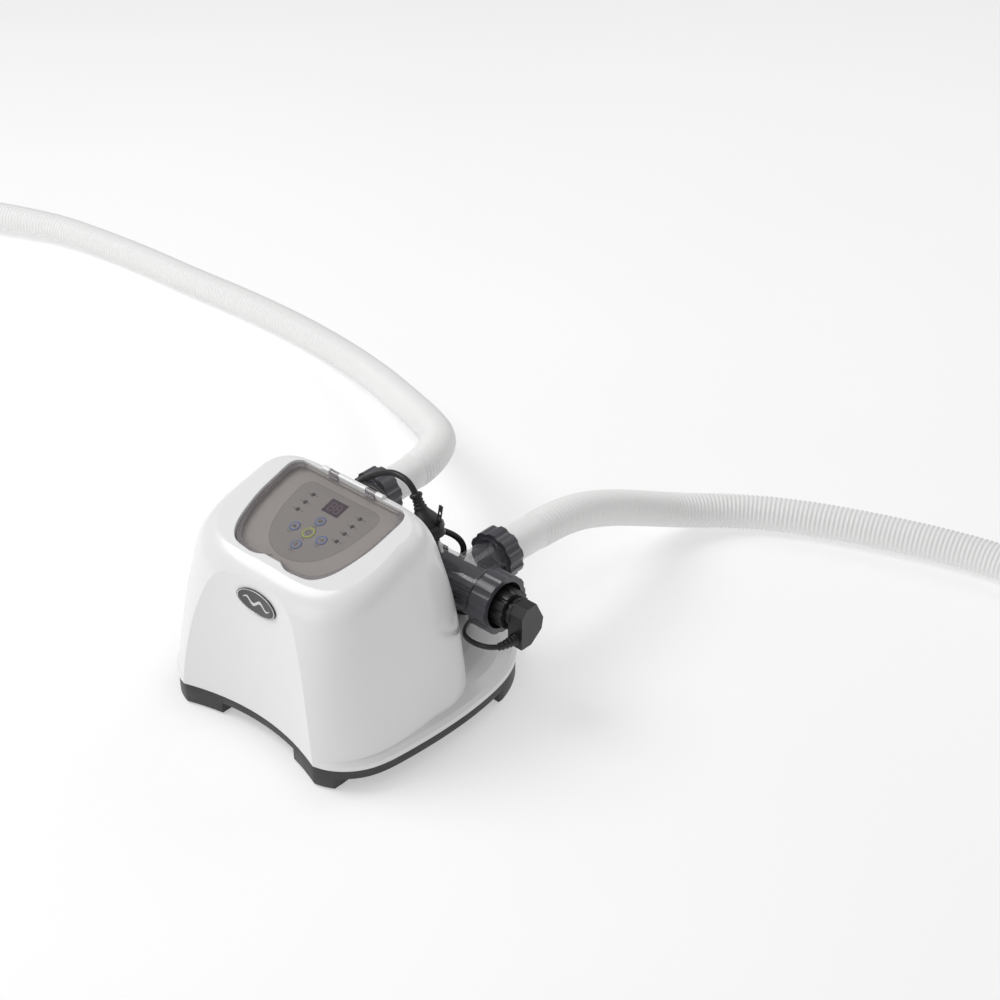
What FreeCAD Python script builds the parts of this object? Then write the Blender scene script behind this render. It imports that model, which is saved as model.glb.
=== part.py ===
import FreeCAD, Part
import math
import os

from FreeCAD import Matrix, Placement, Rotation, Vector

# Salt chlorine generator for a pool: a housing with a control panel on top, and behind it a
# clear flow tube that holds the electrolytic cell, with a hose on each of its two ports.
# Millimetres. Origin: centre of the footprint, on the floor. +Z up, +X right, the front faces -Y.

# ---- housing ----
HALF_DEPTH = 163.0
SEAM_Z = 28.0            # joint between the grey base and the white shell
BASE_FLOOR_Z = 16.0      # underside of the base between its feet
WALL = 3.0
FRONT_CURVE_R = 291.0    # plan radius of the hollow front face
FRONT_CENTRE_Y = -144.3
FRONT_LEAN = 3.66e-4     # how the front face leans back, per mm squared
REAR_WALL_Y = 40.5       # flat rear wall of the tower

# ---- tower, a rounded box whose sides lean in ----
TOWER_Y = -31.0
TOWER_HALF_WIDTH = (156.1, -30.4, -1.3)    # constant, linear and square terms over its height
TOWER_FRONT_REACH = (140.6, -16.3, -33.5)
TOWER_REAR_REACH = (88.9, 25.6, -55.2)
TOWER_FRONT_POWER = 3.6
TOWER_REAR_POWER = 3.9
TOWER_LEVEL_0 = 45.0
TOWER_LEVEL_SPAN = 200.0
SHOULDER = 26.7          # softness of the edge between the sides and the top

# ---- sloping top, measured in its own plane: u across, v up the slope, w out of the surface ----
TOP_SLOPE_DEG = 16.4
TOP_ORIGIN = Vector(0.0, -1.8, 246.6)
TOP_LIFT = 4.4           # the shell's top stands this far above the plane's origin
COVER_HALF_WIDTH = 87.0
COVER_REAR_V = 13.5
COVER_FRONT_V = -113.0
HINGE_V = 17.0
HINGE_W = 2.5
HINGE_PIN_R = 1.5
HINGE_BEAD_R = 4.0       # round bead in the shell that carries the pins
HINGE_BEAD_X = 46.0
KNUCKLE_X = 28.0
KNUCKLE_WIDTH = 14.0
PANEL_W = -6.5           # top face of the control panel
KEYS = {
    "key_centre": (0.0, -57.5, 7.6),
    "key_rear": (0.0, -38.8, 6.4),
    "key_front": (0.0, -76.8, 6.4),
    "key_left": (-20.7, -58.1, 6.4),
    "key_right": (20.7, -58.1, 6.4),
}
KEY_PROUD = 0.5
LED_X = 36.2
LED_LEFT_V = (-13.4, -26.0, -38.2)
LED_RIGHT_V = (-13.4, -26.0, -38.2, -50.5)
LED_R = 2.4
DISPLAY_V = -15.8
DISPLAY_WIDTH = 25.0
DISPLAY_HEIGHT = 20.0

# ---- flow tube behind the tower ----
TUBE_Y = 73.0
TUBE_Z = 139.0
TUBE_R = 28.0
TUBE_BORE = 24.5
TUBE_HALF_LENGTH = 146.0
PORT_X = 95.0
PORT_R = 22.0
PORT_BORE = 18.5
PORT_END_Y = 146.0
CELL_NUT_R = 34.4
CELL_NUT_X = 142.0
CELL_NUT_LENGTH = 24.0
CELL_NUT_MOUTH_R = 27.4
HEAD_R = 22.5
NUT_FIT = 0.35           # radial gap under every hand nut

# ---- hoses: 38 mm pool hose ----
HOSE_R = 22.5
HOSE_BORE = 20.5
HOSE_NUT_R = 31.0
HOSE_NUT_Y = 130.5
HOSE_NUT_LENGTH = 21.0
HOSE_START_Y = 153.0
CUFF_LENGTH = 58.0
HOSE_RIGHT = [
    (95, 153, 139), (95.5, 205, 139), (91, 275, 127), (87, 345, 98), (88, 415, 63), (103, 480, 34),
    (142, 538, 22.6), (207, 580, 22.6), (283, 614, 22.6), (370, 645, 22.6), (461, 668, 22.6),
    (560, 666, 22.6), (652, 630, 22.6), (727, 564, 22.6), (777, 477, 22.6), (807, 382, 29),
    (845, 297, 31.6),
]
HOSE_LEFT = [
    (-95, 153, 139), (-95.5, 200, 139), (-109, 249, 135), (-142, 299, 124), (-210, 344, 103),
    (-306, 400, 72), (-411, 456, 43), (-525, 494, 27), (-640, 511, 22.6), (-762, 514, 22.6),
    (-882, 509, 22.6), (-1000, 509, 22.6), (-1116, 502, 22.6), (-1222, 482, 28), (-1312, 441, 31.6),
]

# ---- cords ----
MAINS_R = 3.6
MAINS_GLAND = Vector(-95.0, 62.0, 176.0)
MAINS_ROUTE_OUT = [
    (-95, 62, 176), (-95, 81, 176), (-88, 97, 175.5), (-73, 107, 175), (-54, 106, 174), (-30, 96, 173),
    (2, 89, 172.5), (32, 91, 173), (53, 101, 171.5), (64, 110, 163), (67, 116, 149), (63, 118, 132),
    (53, 117.5, 118), (38, 116.5, 111),
]
MAINS_ROUTE_PLUG = [
    (-22, 123.5, 110.8), (-40, 123.5, 113.5), (-53, 122.5, 125), (-58, 118, 141), (-58, 109, 157),
    (-57, 96, 171.5), (-57, 83, 187), (-53, 69, 201), (-42, 61, 217), (-24, 60, 231),
    (-5, 60, 243.5), (14, 60, 252.3), (32, 60, 252.3), (42.5, 60, 246.8), (48, 60, 238.6),
]
HANK_CENTRE = Vector(-2.0, 127.8, 82.0)
HANK_RUN = 110.0
HANK_END_R = 32.4
HANK_CORE_R = 18.0
HANK_HEIGHT = 15.4
HANK_TIE_X = 8.0
PLUG_START = Vector(48.0, 60.0, 238.6)
PLUG_AXIS = Vector(0.423, 0.0, -0.906)
PLUG_BOOT_LENGTH = 24.0
PLUG_GRIP_START = 26.0
PLUG_GRIP_LENGTH = 27.0
PLUG_R = 17.5
PLUG_NECK_R = 8.5
PLUG_PIN_R = 2.4
PLUG_PIN_LENGTH = 19.0
PLUG_PIN_SPREAD = 9.5
PLUG_TIE_AT = 38.0
TIE_WIDTH = 5.0
TIE_THICK = 1.2
LEAD_R = 3.0
CELL_ROUTE = [
    (60, 64, 84), (60, 83, 84), (75, 98, 85), (97, 97, 88), (113, 83, 94), (123, 63, 101), (134, 43, 107),
    (148, 29, 112), (165, 24, 115), (183, 27.5, 116), (194, 40, 116), (194, 58, 116),
]
SENSOR_ROUTE = [
    (-60, 64, 84), (-60, 83, 84), (-74, 99, 85), (-96, 99, 88), (-112, 85, 94), (-123, 65, 101),
    (-133, 45, 107), (-147, 30, 112), (-164, 24, 115), (-182, 27.5, 116), (-194, 40, 116), (-194, 58, 116),
]
MIN_TUBE_RADIUS_IN_DIAMETERS = 3.0

X_AXIS = Vector(1, 0, 0)
Y_AXIS = Vector(0, 1, 0)
Z_AXIS = Vector(0, 0, 1)

os.makedirs("parts", exist_ok=True)


# ---------------------------------------------------------------- helpers

def save(node, shape):
    """Write one node and report it when it isn't a valid solid."""
    if not shape.isValid() or not shape.Solids:
        print("check this shape:", node)
    shape.exportStep("parts/" + node + ".step")


def cylinder(radius, length, start, axis):
    return Part.makeCylinder(radius, length, start, axis)


def ring(outer, inner, length, start, axis):
    return cylinder(outer, length, start, axis).cut(cylinder(inner, length, start, axis))


def block(low, high):
    """A box between two opposite corners."""
    size = Vector(*high).sub(Vector(*low))
    return Part.makeBox(size.x, size.y, size.z, Vector(*low))


def group(shapes):
    return Part.makeCompound(shapes)


def top_placement():
    return Placement(TOP_ORIGIN, Rotation(X_AXIS, TOP_SLOPE_DEG))


def on_top(shape):
    """Move a shape from the top's own u, v, w frame onto the sloping top."""
    moved = shape.copy()
    moved.Placement = top_placement().multiply(shape.Placement)
    return moved


def closed_curve(points):
    curve = Part.BSplineCurve()
    curve.interpolate(points, True)
    return Part.Wire([curve.toShape()])


# ---------------------------------------------------------------- housing outline and tower

def plan_outline(scale, z, front_middle=FRONT_CENTRE_Y):
    """The footprint: a hollow arc in front, and one smooth curve round the sides and the back."""
    front = Part.Arc(Vector(-104, -163, 0), Vector(0, front_middle, 0), Vector(104, -163, 0))
    side = [(104, -163), (133, -149.5), (152, -126), (163, -82), (168.5, -10), (166, 50), (152, 104), (120, 143)]
    points = [Vector(x, y, 0) for x, y in side]
    points += [Vector(0, HALF_DEPTH, 0)]
    points += [Vector(-x, y, 0) for x, y in reversed(side)]
    curve = Part.BSplineCurve()
    curve.interpolate(points)
    wire = Part.Wire([front.toShape(), curve.toShape()])
    matrix = Matrix()
    matrix.scale(scale, scale, 1.0)
    matrix.move(Vector(0, 0, z))
    return wire.transformGeometry(matrix)


def outline_prism(scale, low, high):
    return Part.Face(plan_outline(scale, low)).extrude(Vector(0, 0, high - low))


def over_height(terms, level):
    return terms[0] + terms[1] * level + terms[2] * level * level


def tower_gap(x, y, z):
    """Roughly the distance outside the tower's rounded box; negative inside."""
    level = min(max((z - TOWER_LEVEL_0) / TOWER_LEVEL_SPAN, -0.2), 1.2)
    half_width = over_height(TOWER_HALF_WIDTH, level)
    reach, power = over_height(TOWER_FRONT_REACH, level), TOWER_FRONT_POWER
    if y > TOWER_Y:
        reach, power = over_height(TOWER_REAR_REACH, level), TOWER_REAR_POWER
    from_axis = math.hypot(x, y - TOWER_Y)
    ratio = (abs(x) / half_width) ** power + (abs(y - TOWER_Y) / reach) ** power
    side = from_axis * (1.0 - (ratio + 1e-12) ** (-1.0 / power))
    slope = math.tan(math.radians(TOP_SLOPE_DEG))
    top = (z - TOP_ORIGIN.z - TOP_LIFT - (y - TOP_ORIGIN.y) * slope) * 0.96
    blend = min(max(0.5 + 0.5 * (side - top) / SHOULDER, 0.0), 1.0)
    return top + (side - top) * blend + SHOULDER * blend * (1.0 - blend)


def tower_section(height, slope_deg, inset):
    """The tower's outline in a plane through its axis at a height, tilted back by a slope."""
    slope = math.tan(math.radians(slope_deg))
    points = []
    directions = 36
    for step in range(directions):
        angle = 2.0 * math.pi * (step + 0.5) / directions
        low, high = 0.0, 260.0
        for _ in range(30):
            middle = (low + high) / 2.0
            x = middle * math.cos(angle)
            y = TOWER_Y + middle * math.sin(angle)
            if tower_gap(x, y, height + (y - TOWER_Y) * slope) < -inset:
                low = middle
            else:
                high = middle
        y = TOWER_Y + low * math.sin(angle)
        points.append(Vector(low * math.cos(angle), y, height + (y - TOWER_Y) * slope))
    return closed_curve(points)


def front_cutter(shift):
    """Everything in front of the hollow, leaning front face."""
    rows = []
    for z in (0.0, 60.0, 120.0, 180.0, 240.0, 290.0):
        row = []
        for x in (-190.0, -95.0, 0.0, 95.0, 190.0):
            y = FRONT_CENTRE_Y + FRONT_LEAN * (z - SEAM_Z) ** 2 - x * x / (2.0 * FRONT_CURVE_R) + shift
            row.append(Vector(x, y, z))
        rows.append(row)
    surface = Part.BSplineSurface()
    surface.interpolate(rows)
    return surface.toShape().extrude(Vector(0, -150, 0))


def tower_solid(inset):
    top_at_axis = TOP_ORIGIN.z + TOP_LIFT + (TOWER_Y - TOP_ORIGIN.y) * math.tan(math.radians(TOP_SLOPE_DEG))
    levels = [(SEAM_Z, 0.0), (80.0, 0.0), (130.0, 0.0), (170.0, 4.0), (200.0, 10.0), (220.0, 15.0)]
    levels += [(top_at_axis - 10.0, TOP_SLOPE_DEG), (top_at_axis - 4.0, TOP_SLOPE_DEG)]
    levels += [(top_at_axis - 1.2, TOP_SLOPE_DEG)]
    wires = [tower_section(height - inset, slope, inset) for height, slope in levels[1:]]
    wires.insert(0, tower_section(SEAM_Z, 0.0, inset))
    solid = Part.makeLoft(wires, True, False)
    return solid.cut(block((-200, REAR_WALL_Y - inset, -10), (200, 200, 300)))


def deck_solid(drop):
    """The low skirt that runs round the tower and slopes up to its foot."""
    steps = ((1.0, SEAM_Z), (0.998, 34.0), (0.975, 38.5), (0.90, 43.0), (0.82, 46.5), (0.72, 49.0))
    shrink = drop / 165.0
    wires = []
    for scale, z in steps:
        wires.append(plan_outline(scale - shrink, z - drop if z > SEAM_Z else SEAM_Z, -HALF_DEPTH - 20.0))
    return Part.makeLoft(wires, True, True)


def housing_solid(inset):
    """Tower and skirt together, cut off at the hollow front face."""
    return tower_solid(inset).fuse(deck_solid(inset)).cut(front_cutter(inset))


def cover_outline(grow):
    """The clear cover's outline in the top's plane: straight at the hinge, rounded to the front."""
    half = COVER_HALF_WIDTH + grow
    rear = COVER_REAR_V + grow
    front = COVER_FRONT_V - grow
    corner = (half - 13.0, rear)
    side = [corner, (half - 3.0, rear - 6.0), (half - 0.5, -12.0), (half - 1.7, -44.0), (half - 6.5, -70.0)]
    side += [(half - 18.0, front + 14.5), (half - 30.5, front + 3.5), (half - 47.0, front + 0.2)]
    side += [(half - 66.0, front + 0.4), (half - 71.0, front + 2.4), (half - 76.0, front + 4.6)]
    right = [Vector(u, v, 0) for u, v in side]
    left = [Vector(-u, v, 0) for u, v in reversed(side)]
    curve = Part.BSplineCurve()
    curve.interpolate(right)
    other = Part.BSplineCurve()
    other.interpolate(left)
    front_edge = Part.LineSegment(right[-1], left[0])
    rear_edge = Part.LineSegment(left[-1], right[0])
    return Part.Wire([curve.toShape(), front_edge.toShape(), other.toShape(), rear_edge.toShape()])


def cover_prism(grow, low, high):
    prism = Part.Face(cover_outline(grow)).extrude(Vector(0, 0, high - low))
    prism.translate(Vector(0, 0, low))
    return prism


def overlay_prism(grow, low, high):
    """The shield shape of the printed keypad: wide at the back, round in front."""
    half = 58.0 + grow
    side = [(half - 12.0, 2.0 + grow), (half - 2.5, -3.5), (half - 0.5, -22.0), (half - 5.0, -50.0)]
    side += [(half - 18.0, -78.0 - grow * 0.5), (half - 36.0, -92.5 - grow)]
    points = [Vector(u, v, low) for u, v in side]
    points += [Vector(0, -97.0 - grow, low)]
    points += [Vector(-u, v, low) for u, v in reversed(side)]
    curve = Part.BSplineCurve()
    curve.interpolate(points)
    rear = Part.LineSegment(points[-1], points[0])
    return Part.Face(Part.Wire([curve.toShape(), rear.toShape()])).extrude(Vector(0, 0, high - low))


def screw(radius, head_radius, length, start, axis):
    """A pan-head screw: start is under its head, axis points along the shank."""
    head = cylinder(head_radius, 2.0, start.sub(Vector(axis).multiply(2.0)), axis)
    slot = cylinder(head_radius * 0.35, 1.2, start.sub(Vector(axis).multiply(2.0)), axis)
    return head.fuse(cylinder(radius, length, start, axis)).cut(slot)


# ---------------------------------------------------------------- round and swept parts

def lobed_nut(radius, bore, mouth, length, lip, start, axis, lobes, depth):
    """A hand nut with scalloped sides; the mouth is the hole through its end lip."""
    body = cylinder(radius, length, start, axis)
    side = Vector(0, 0, 1)
    turn = 360.0 / lobes
    cut_radius = radius * 0.30
    for index in range(lobes):
        direction = Rotation(axis, turn * (index + 0.5)).multVec(side)
        centre = start.add(direction.multiply(radius + cut_radius - depth))
        body = body.cut(cylinder(cut_radius, length, centre, axis))
    body = body.cut(cylinder(bore, length - lip, start, axis))
    return body.cut(cylinder(mouth, length, start, axis))


def rounded_path(points, name, diameter):
    """Straight runs joined by tangent arcs, each as large as its two runs allow."""
    corners = [Vector(*point) for point in points]
    edges = []
    radii = []
    at = corners[0]
    for before, corner, after in zip(corners, corners[1:], corners[2:]):
        run_in = corner.sub(before)
        run_out = after.sub(corner)
        turn = run_in.getAngle(run_out)
        cut = 0.45 * min(run_in.Length, run_out.Length)
        radius = cut / math.tan(turn / 2.0)
        radii.append(radius)
        start = corner.sub(Vector(run_in).normalize().multiply(cut))
        end = corner.add(Vector(run_out).normalize().multiply(cut))
        inward = Vector(run_out).normalize().sub(Vector(run_in).normalize()).normalize()
        middle = corner.add(inward.multiply(radius / math.cos(turn / 2.0) - radius))
        edges.append(Part.LineSegment(at, start).toShape())
        edges.append(Part.Arc(start, middle, end).toShape())
        at = end
    edges.append(Part.LineSegment(at, corners[-1]).toShape())
    length = sum(edge.Length for edge in edges)
    print(name, "length %.0f" % length, "radii", [round(radius) for radius in radii],
          "least allowed %.0f" % (MIN_TUBE_RADIUS_IN_DIAMETERS * diameter))
    return Part.Wire(edges), length


def swept_tube(points, radius, bore, name):
    """A cord or hose along a route; its volume is compared with section times length."""
    path, length = rounded_path(points, name, 2.0 * radius)
    direction = Vector(*points[1]).sub(Vector(*points[0]))
    outer = Part.Wire([Part.makeCircle(radius, Vector(*points[0]), direction)])
    tube = path.makePipeShell([outer], True, True)
    area = math.pi * radius * radius
    if bore:
        inner = Part.Wire([Part.makeCircle(bore, Vector(*points[0]), direction)])
        tube = tube.cut(path.makePipeShell([inner], True, True))
        area -= math.pi * bore * bore
    print(name, "volume over section times length %.4f" % (tube.Volume / (area * length)))
    return tube


# ---------------------------------------------------------------- base and shell

def foot_blocks():
    blocks = [block((sx * 92 - 34, -170, 0), (sx * 92 + 34, -104, 20)) for sx in (-1, 1)]
    blocks += [block((sx * 130 - 30, 70, 0), (sx * 130 + 30, 140, 20)) for sx in (-1, 1)]
    return blocks


PAD_PLACES = [(-110, -140), (110, -140), (-138, 96), (138, 96)]
PAD_R = 9.0
PAD_HEIGHT = 2.0
BOSS_PLACES = [(-121, -144), (121, -144), (-158, -10), (158, -10), (-80, 134), (80, 134)]


def make_base():
    tray = outline_prism(0.992, BASE_FLOOR_Z, SEAM_Z)
    tray = tray.cut(outline_prism(0.992 - WALL / 165.0, BASE_FLOOR_Z + WALL, SEAM_Z + 1))
    under = outline_prism(0.992, PAD_HEIGHT, BASE_FLOOR_Z)
    for foot in foot_blocks():
        tray = tray.fuse(under.common(foot))
    for x, y in BOSS_PLACES:
        tray = tray.fuse(cylinder(5.0, 11.0, Vector(x, y, BASE_FLOOR_Z + 1), Z_AXIS))
        tray = tray.cut(cylinder(2.1, 14.0, Vector(x, y, BASE_FLOOR_Z - 1), Z_AXIS))
        tray = tray.cut(cylinder(4.4, BASE_FLOOR_Z, Vector(x, y, 0), Z_AXIS))
    for y in (-90, 0):
        tray = tray.fuse(block((POWER_BOARD_X - 4, y - 4, BASE_FLOOR_Z), (POWER_BOARD_X + 6, y + 4, 27.0)))
    save("base_tray", tray)
    save("rubber_feet", group([cylinder(PAD_R, PAD_HEIGHT, Vector(x, y, 0), Z_AXIS) for x, y in PAD_PLACES]))
    screws = [screw(1.9, 3.6, 20.0, Vector(x, y, BASE_FLOOR_Z), Z_AXIS) for x, y in BOSS_PLACES]
    save("base_screws", group(screws))


POWER_BOARD_X = 62.0
SADDLE_X = 38.0
SADDLE_WIDTH = 16.0
GLANDS = {
    "mains_gland": (Vector(MAINS_GLAND), MAINS_R),
    "cell_gland": (Vector(60.0, 64.0, 84.0), LEAD_R),
    "sensor_gland": (Vector(-60.0, 64.0, 84.0), LEAD_R),
}
GLAND_BODY_R = 7.0


def make_shell():
    outer = housing_solid(0.0)
    shell = outer.cut(housing_solid(WALL))
    bead = on_top(cylinder(HINGE_BEAD_R, 2 * HINGE_BEAD_X, Vector(-HINGE_BEAD_X, HINGE_V, HINGE_W), X_AXIS))
    well = on_top(cover_prism(3.4, -12.0, 3.0)).common(tower_solid(0.5))
    shell = shell.fuse(well).fuse(bead)
    shell = shell.cut(on_top(cover_prism(0.8, -9.0, 30.0)))
    shell = shell.cut(on_top(cover_prism(-3.0, -14.0, 0.0)))
    for x in (-KNUCKLE_X, KNUCKLE_X):
        gap = block((x - KNUCKLE_WIDTH / 2 - 0.4, COVER_REAR_V - 2, -5.0),
                    (x + KNUCKLE_WIDTH / 2 + 0.4, HINGE_V + 5.5, 12.0))
        shell = shell.cut(on_top(gap))
    shell = shell.cut(on_top(cylinder(HINGE_PIN_R, 76.0, Vector(-38, HINGE_V, HINGE_W), X_AXIS)))
    for end, _ in GLANDS.values():
        shell = shell.cut(cylinder(GLAND_BODY_R, 30.0, Vector(end.x, REAR_WALL_Y - 15, end.z), Y_AXIS))
    for x, y in BOSS_PLACES:
        boss = cylinder(7.0, 15.0, Vector(x, y, SEAM_Z), Z_AXIS)
        boss = boss.cut(cylinder(1.9, 8.5, Vector(x, y, SEAM_Z), Z_AXIS))
        shell = shell.fuse(boss.common(outer))
    save("top_shell", shell)


def make_badge():
    """A blank oval badge that stands a little proud of the hollow front face."""
    centre_x, centre_z = 5.0, 178.0
    lean = math.degrees(math.atan(2 * FRONT_LEAN * (centre_z - SEAM_Z)))
    centre = Vector(centre_x, FRONT_CENTRE_Y + FRONT_LEAN * (centre_z - SEAM_Z) ** 2, centre_z)
    plate = Part.Face(Part.Wire([Part.Ellipse(Vector(0, 0, 0), 30.5, 13.5).toShape()]))
    plate = plate.extrude(Vector(0, 0, 8))
    plate.Placement = Placement(centre.add(Vector(0, 4.5, 0)), Rotation(X_AXIS, 90 - lean))
    hollow = front_cutter(-2.2)
    face = front_cutter(0.0)
    save("front_badge", plate.common(face).cut(hollow))


# ---------------------------------------------------------------- control panel

def make_panel():
    leds = [(-LED_X, v) for v in LED_LEFT_V] + [(LED_X, v) for v in LED_RIGHT_V]
    frame = cover_prism(0.2, -9.0, -2.2).cut(cover_prism(-2.4, PANEL_W, 0))
    frame = frame.cut(overlay_prism(0.25, PANEL_W - 0.8, 0))
    openings = [cylinder(radius + 0.3, 9.0, Vector(u, v, -12), Z_AXIS) for u, v, radius in KEYS.values()]
    openings += [cylinder(LED_R + 0.2, 9.0, Vector(u, v, -12), Z_AXIS) for u, v in leds]
    openings.append(block((-12.8, DISPLAY_V - 9.3, -12), (12.8, DISPLAY_V + 9.3, -5)))
    for opening in openings:
        frame = frame.cut(opening)
    for u in (-40, 40):
        for v in (-70, -5):
            post = cylinder(3.2, 7.8, Vector(u, v, -16.4), Z_AXIS)
            frame = frame.fuse(post.fuse(cylinder(1.6, 3.4, Vector(u, v, -19.4), Z_AXIS)))
    save("panel_frame", on_top(frame))

    overlay = overlay_prism(0.0, PANEL_W - 0.8, PANEL_W)
    window = block((-DISPLAY_WIDTH / 2, DISPLAY_V - DISPLAY_HEIGHT / 2, -9),
                   (DISPLAY_WIDTH / 2, DISPLAY_V + DISPLAY_HEIGHT / 2, 0))
    overlay = overlay.cut(window)
    for u, v, radius in KEYS.values():
        overlay = overlay.cut(cylinder(radius + 0.3, 9.0, Vector(u, v, -9), Z_AXIS))
    for u, v in leds:
        overlay = overlay.cut(cylinder(LED_R + 0.2, 9.0, Vector(u, v, -9), Z_AXIS))
    save("keypad_overlay", on_top(overlay))

    lens = block((-DISPLAY_WIDTH / 2, DISPLAY_V - DISPLAY_HEIGHT / 2, PANEL_W - 0.8),
                 (DISPLAY_WIDTH / 2, DISPLAY_V + DISPLAY_HEIGHT / 2, PANEL_W))
    save("display_window", on_top(lens))
    module = block((-12.5, DISPLAY_V - 9, -16.4), (12.5, DISPLAY_V + 9, PANEL_W - 0.8))
    save("display_module", on_top(module))

    domes = []
    for u, v in leds:
        dome = cylinder(LED_R, 8.2, Vector(u, v, -16.4), Z_AXIS)
        domes.append(dome.fuse(Part.makeSphere(LED_R, Vector(u, v, -8.2))))
    save("indicator_leds", on_top(group(domes)))

    switches = []
    for name, (u, v, radius) in KEYS.items():
        cap = cylinder(radius, KEY_PROUD + 1.0, Vector(u, v, PANEL_W - 1.0), Z_AXIS)
        ridge = ring(radius - 0.4, radius - 1.6, 0.25, Vector(u, v, PANEL_W + KEY_PROUD), Z_AXIS)
        stem = cylinder(2.0, 4.2, Vector(u, v, -11.6), Z_AXIS)
        save(name, on_top(cap.fuse(ridge).fuse(stem)))
        body = block((u - 3, v - 3, -16.4), (u + 3, v + 3, -13.2))
        switches.append(body.fuse(cylinder(1.7, 0.8, Vector(u, v, -13.2), Z_AXIS)))
    save("tact_switches", on_top(group(switches)))

    board = block((-46, -92, -18.0), (46, 0, -16.4))
    for u in (-40, 40):
        for v in (-70, -5):
            board = board.cut(cylinder(1.7, 3.0, Vector(u, v, -19), Z_AXIS))
    save("panel_board", on_top(board))


def make_cover():
    lid = cover_prism(0.0, -2.0, 0.5)

    for x in (-KNUCKLE_X, KNUCKLE_X):
        width = KNUCKLE_WIDTH
        arm = block((x - width / 2, COVER_REAR_V - 4, -1.0), (x + width / 2, HINGE_V, 1.6))
        knuckle = cylinder(3.6, width, Vector(x - width / 2, HINGE_V, HINGE_W), X_AXIS)
        lid = lid.fuse(arm).fuse(knuckle)
        lid = lid.cut(cylinder(HINGE_PIN_R + 0.05, width, Vector(x - width / 2, HINGE_V, HINGE_W), X_AXIS))
    save("clear_cover", on_top(lid))
    pins = []
    for x in (-KNUCKLE_X, KNUCKLE_X):
        pins.append(cylinder(HINGE_PIN_R, 19.0, Vector(x - 9.5, HINGE_V, HINGE_W), X_AXIS))
    save("cover_hinge_pins", on_top(group(pins)))


# ---------------------------------------------------------------- electrics inside the tower

def make_electrics():
    floor = BASE_FLOOR_Z + WALL
    core = block((-42, -92, floor + 3), (34, -22, floor + 63))
    window = block((-24, -93, floor + 17), (-10, -21, floor + 49))
    core = core.cut(window).cut(window.translated(Vector(26, 0, 0)))
    save("transformer_core", core)
    coil = block((-23.7, -103, floor + 17.3), (15.7, -11, floor + 48.7))
    coil = coil.cut(block((-9.7, -92.3, floor + 16), (1.7, -21.7, floor + 50)))
    coil = coil.common(block((-23.7, -103, 0), (15.7, -11, 200)))
    middle = block((-10.3, -92.3, floor + 16), (2.3, -21.7, floor + 50))
    save("transformer_coil", coil.cut(core).cut(middle))
    strap = block((-44, -72, floor), (36, -42, floor + 65)).cut(block((-42, -73, floor + 3), (34, -41, floor + 63)))
    foot = block((-58, -72, floor), (50, -42, floor + 3))
    strap = strap.fuse(foot)
    save("transformer_bracket", strap)

    board_x = POWER_BOARD_X
    board = block((board_x, -100, floor + 8), (board_x + 1.6, 10, floor + 96))
    save("power_board", board)
    sink = block((board_x - 24, -98, floor + 68), (board_x - 21, -38, floor + 94))
    for index in range(7):
        y = -96 + index * 9.0
        sink = sink.fuse(block((board_x - 21, y, floor + 68), (board_x - 1.0, y + 2, floor + 94)))
    sink = sink.fuse(block((board_x - 1.0, -98, floor + 68), (board_x, -38, floor + 94)))
    save("heat_sink", sink)
    relays = [block((board_x - 16, y, floor + 46), (board_x, y + 19, floor + 61)) for y in (-30, -6)]
    save("relays", group(relays))
    cans = [cylinder(8.0, 25.0, Vector(board_x + 1.6, y, floor + 74), X_AXIS) for y in (-84, -64, -44)]
    save("capacitors", group(cans))
    terminals = block((board_x + 1.6, -92, floor + 14), (board_x + 13, 2, floor + 26))
    for index in range(8):
        y = -86 + index * 11.5
        terminals = terminals.cut(cylinder(2.6, 7.0, Vector(board_x + 7, y, floor + 20), Z_AXIS))
    save("terminal_block", terminals)
    fuse = ring(4.2, 3.0, 22.0, Vector(board_x + 7, -40, floor + 40), Y_AXIS)
    fuse = fuse.fuse(block((board_x + 1.6, -42, floor + 35), (board_x + 12.4, -40, floor + 45)))
    fuse = fuse.fuse(block((board_x + 1.6, -18, floor + 35), (board_x + 12.4, -16, floor + 45)))
    save("fuse_holder", fuse)


def make_glands():
    glands = {}
    for name, (end, cord_r) in GLANDS.items():
        inside = cylinder(GLAND_BODY_R, 10.0, Vector(end.x, REAR_WALL_Y - 8, end.z), Y_AXIS)
        collar = cylinder(9.0, 3.5, Vector(end.x, REAR_WALL_Y, end.z), Y_AXIS)
        nut = cylinder(9.5, 4.0, Vector(end.x, REAR_WALL_Y - WALL - 4.0, end.z), Y_AXIS)
        cone_start = Vector(end.x, REAR_WALL_Y + 3.5, end.z)
        cone = Part.makeCone(7.0, cord_r + 1.2, end.y - cone_start.y, cone_start, Y_AXIS)
        glands[name] = inside.fuse(collar).fuse(nut).fuse(cone)
    save("mains_gland", glands["mains_gland"])
    save("lead_glands", group([glands["cell_gland"], glands["sensor_gland"]]))


# ---------------------------------------------------------------- flow tube, cell and sensor

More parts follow.
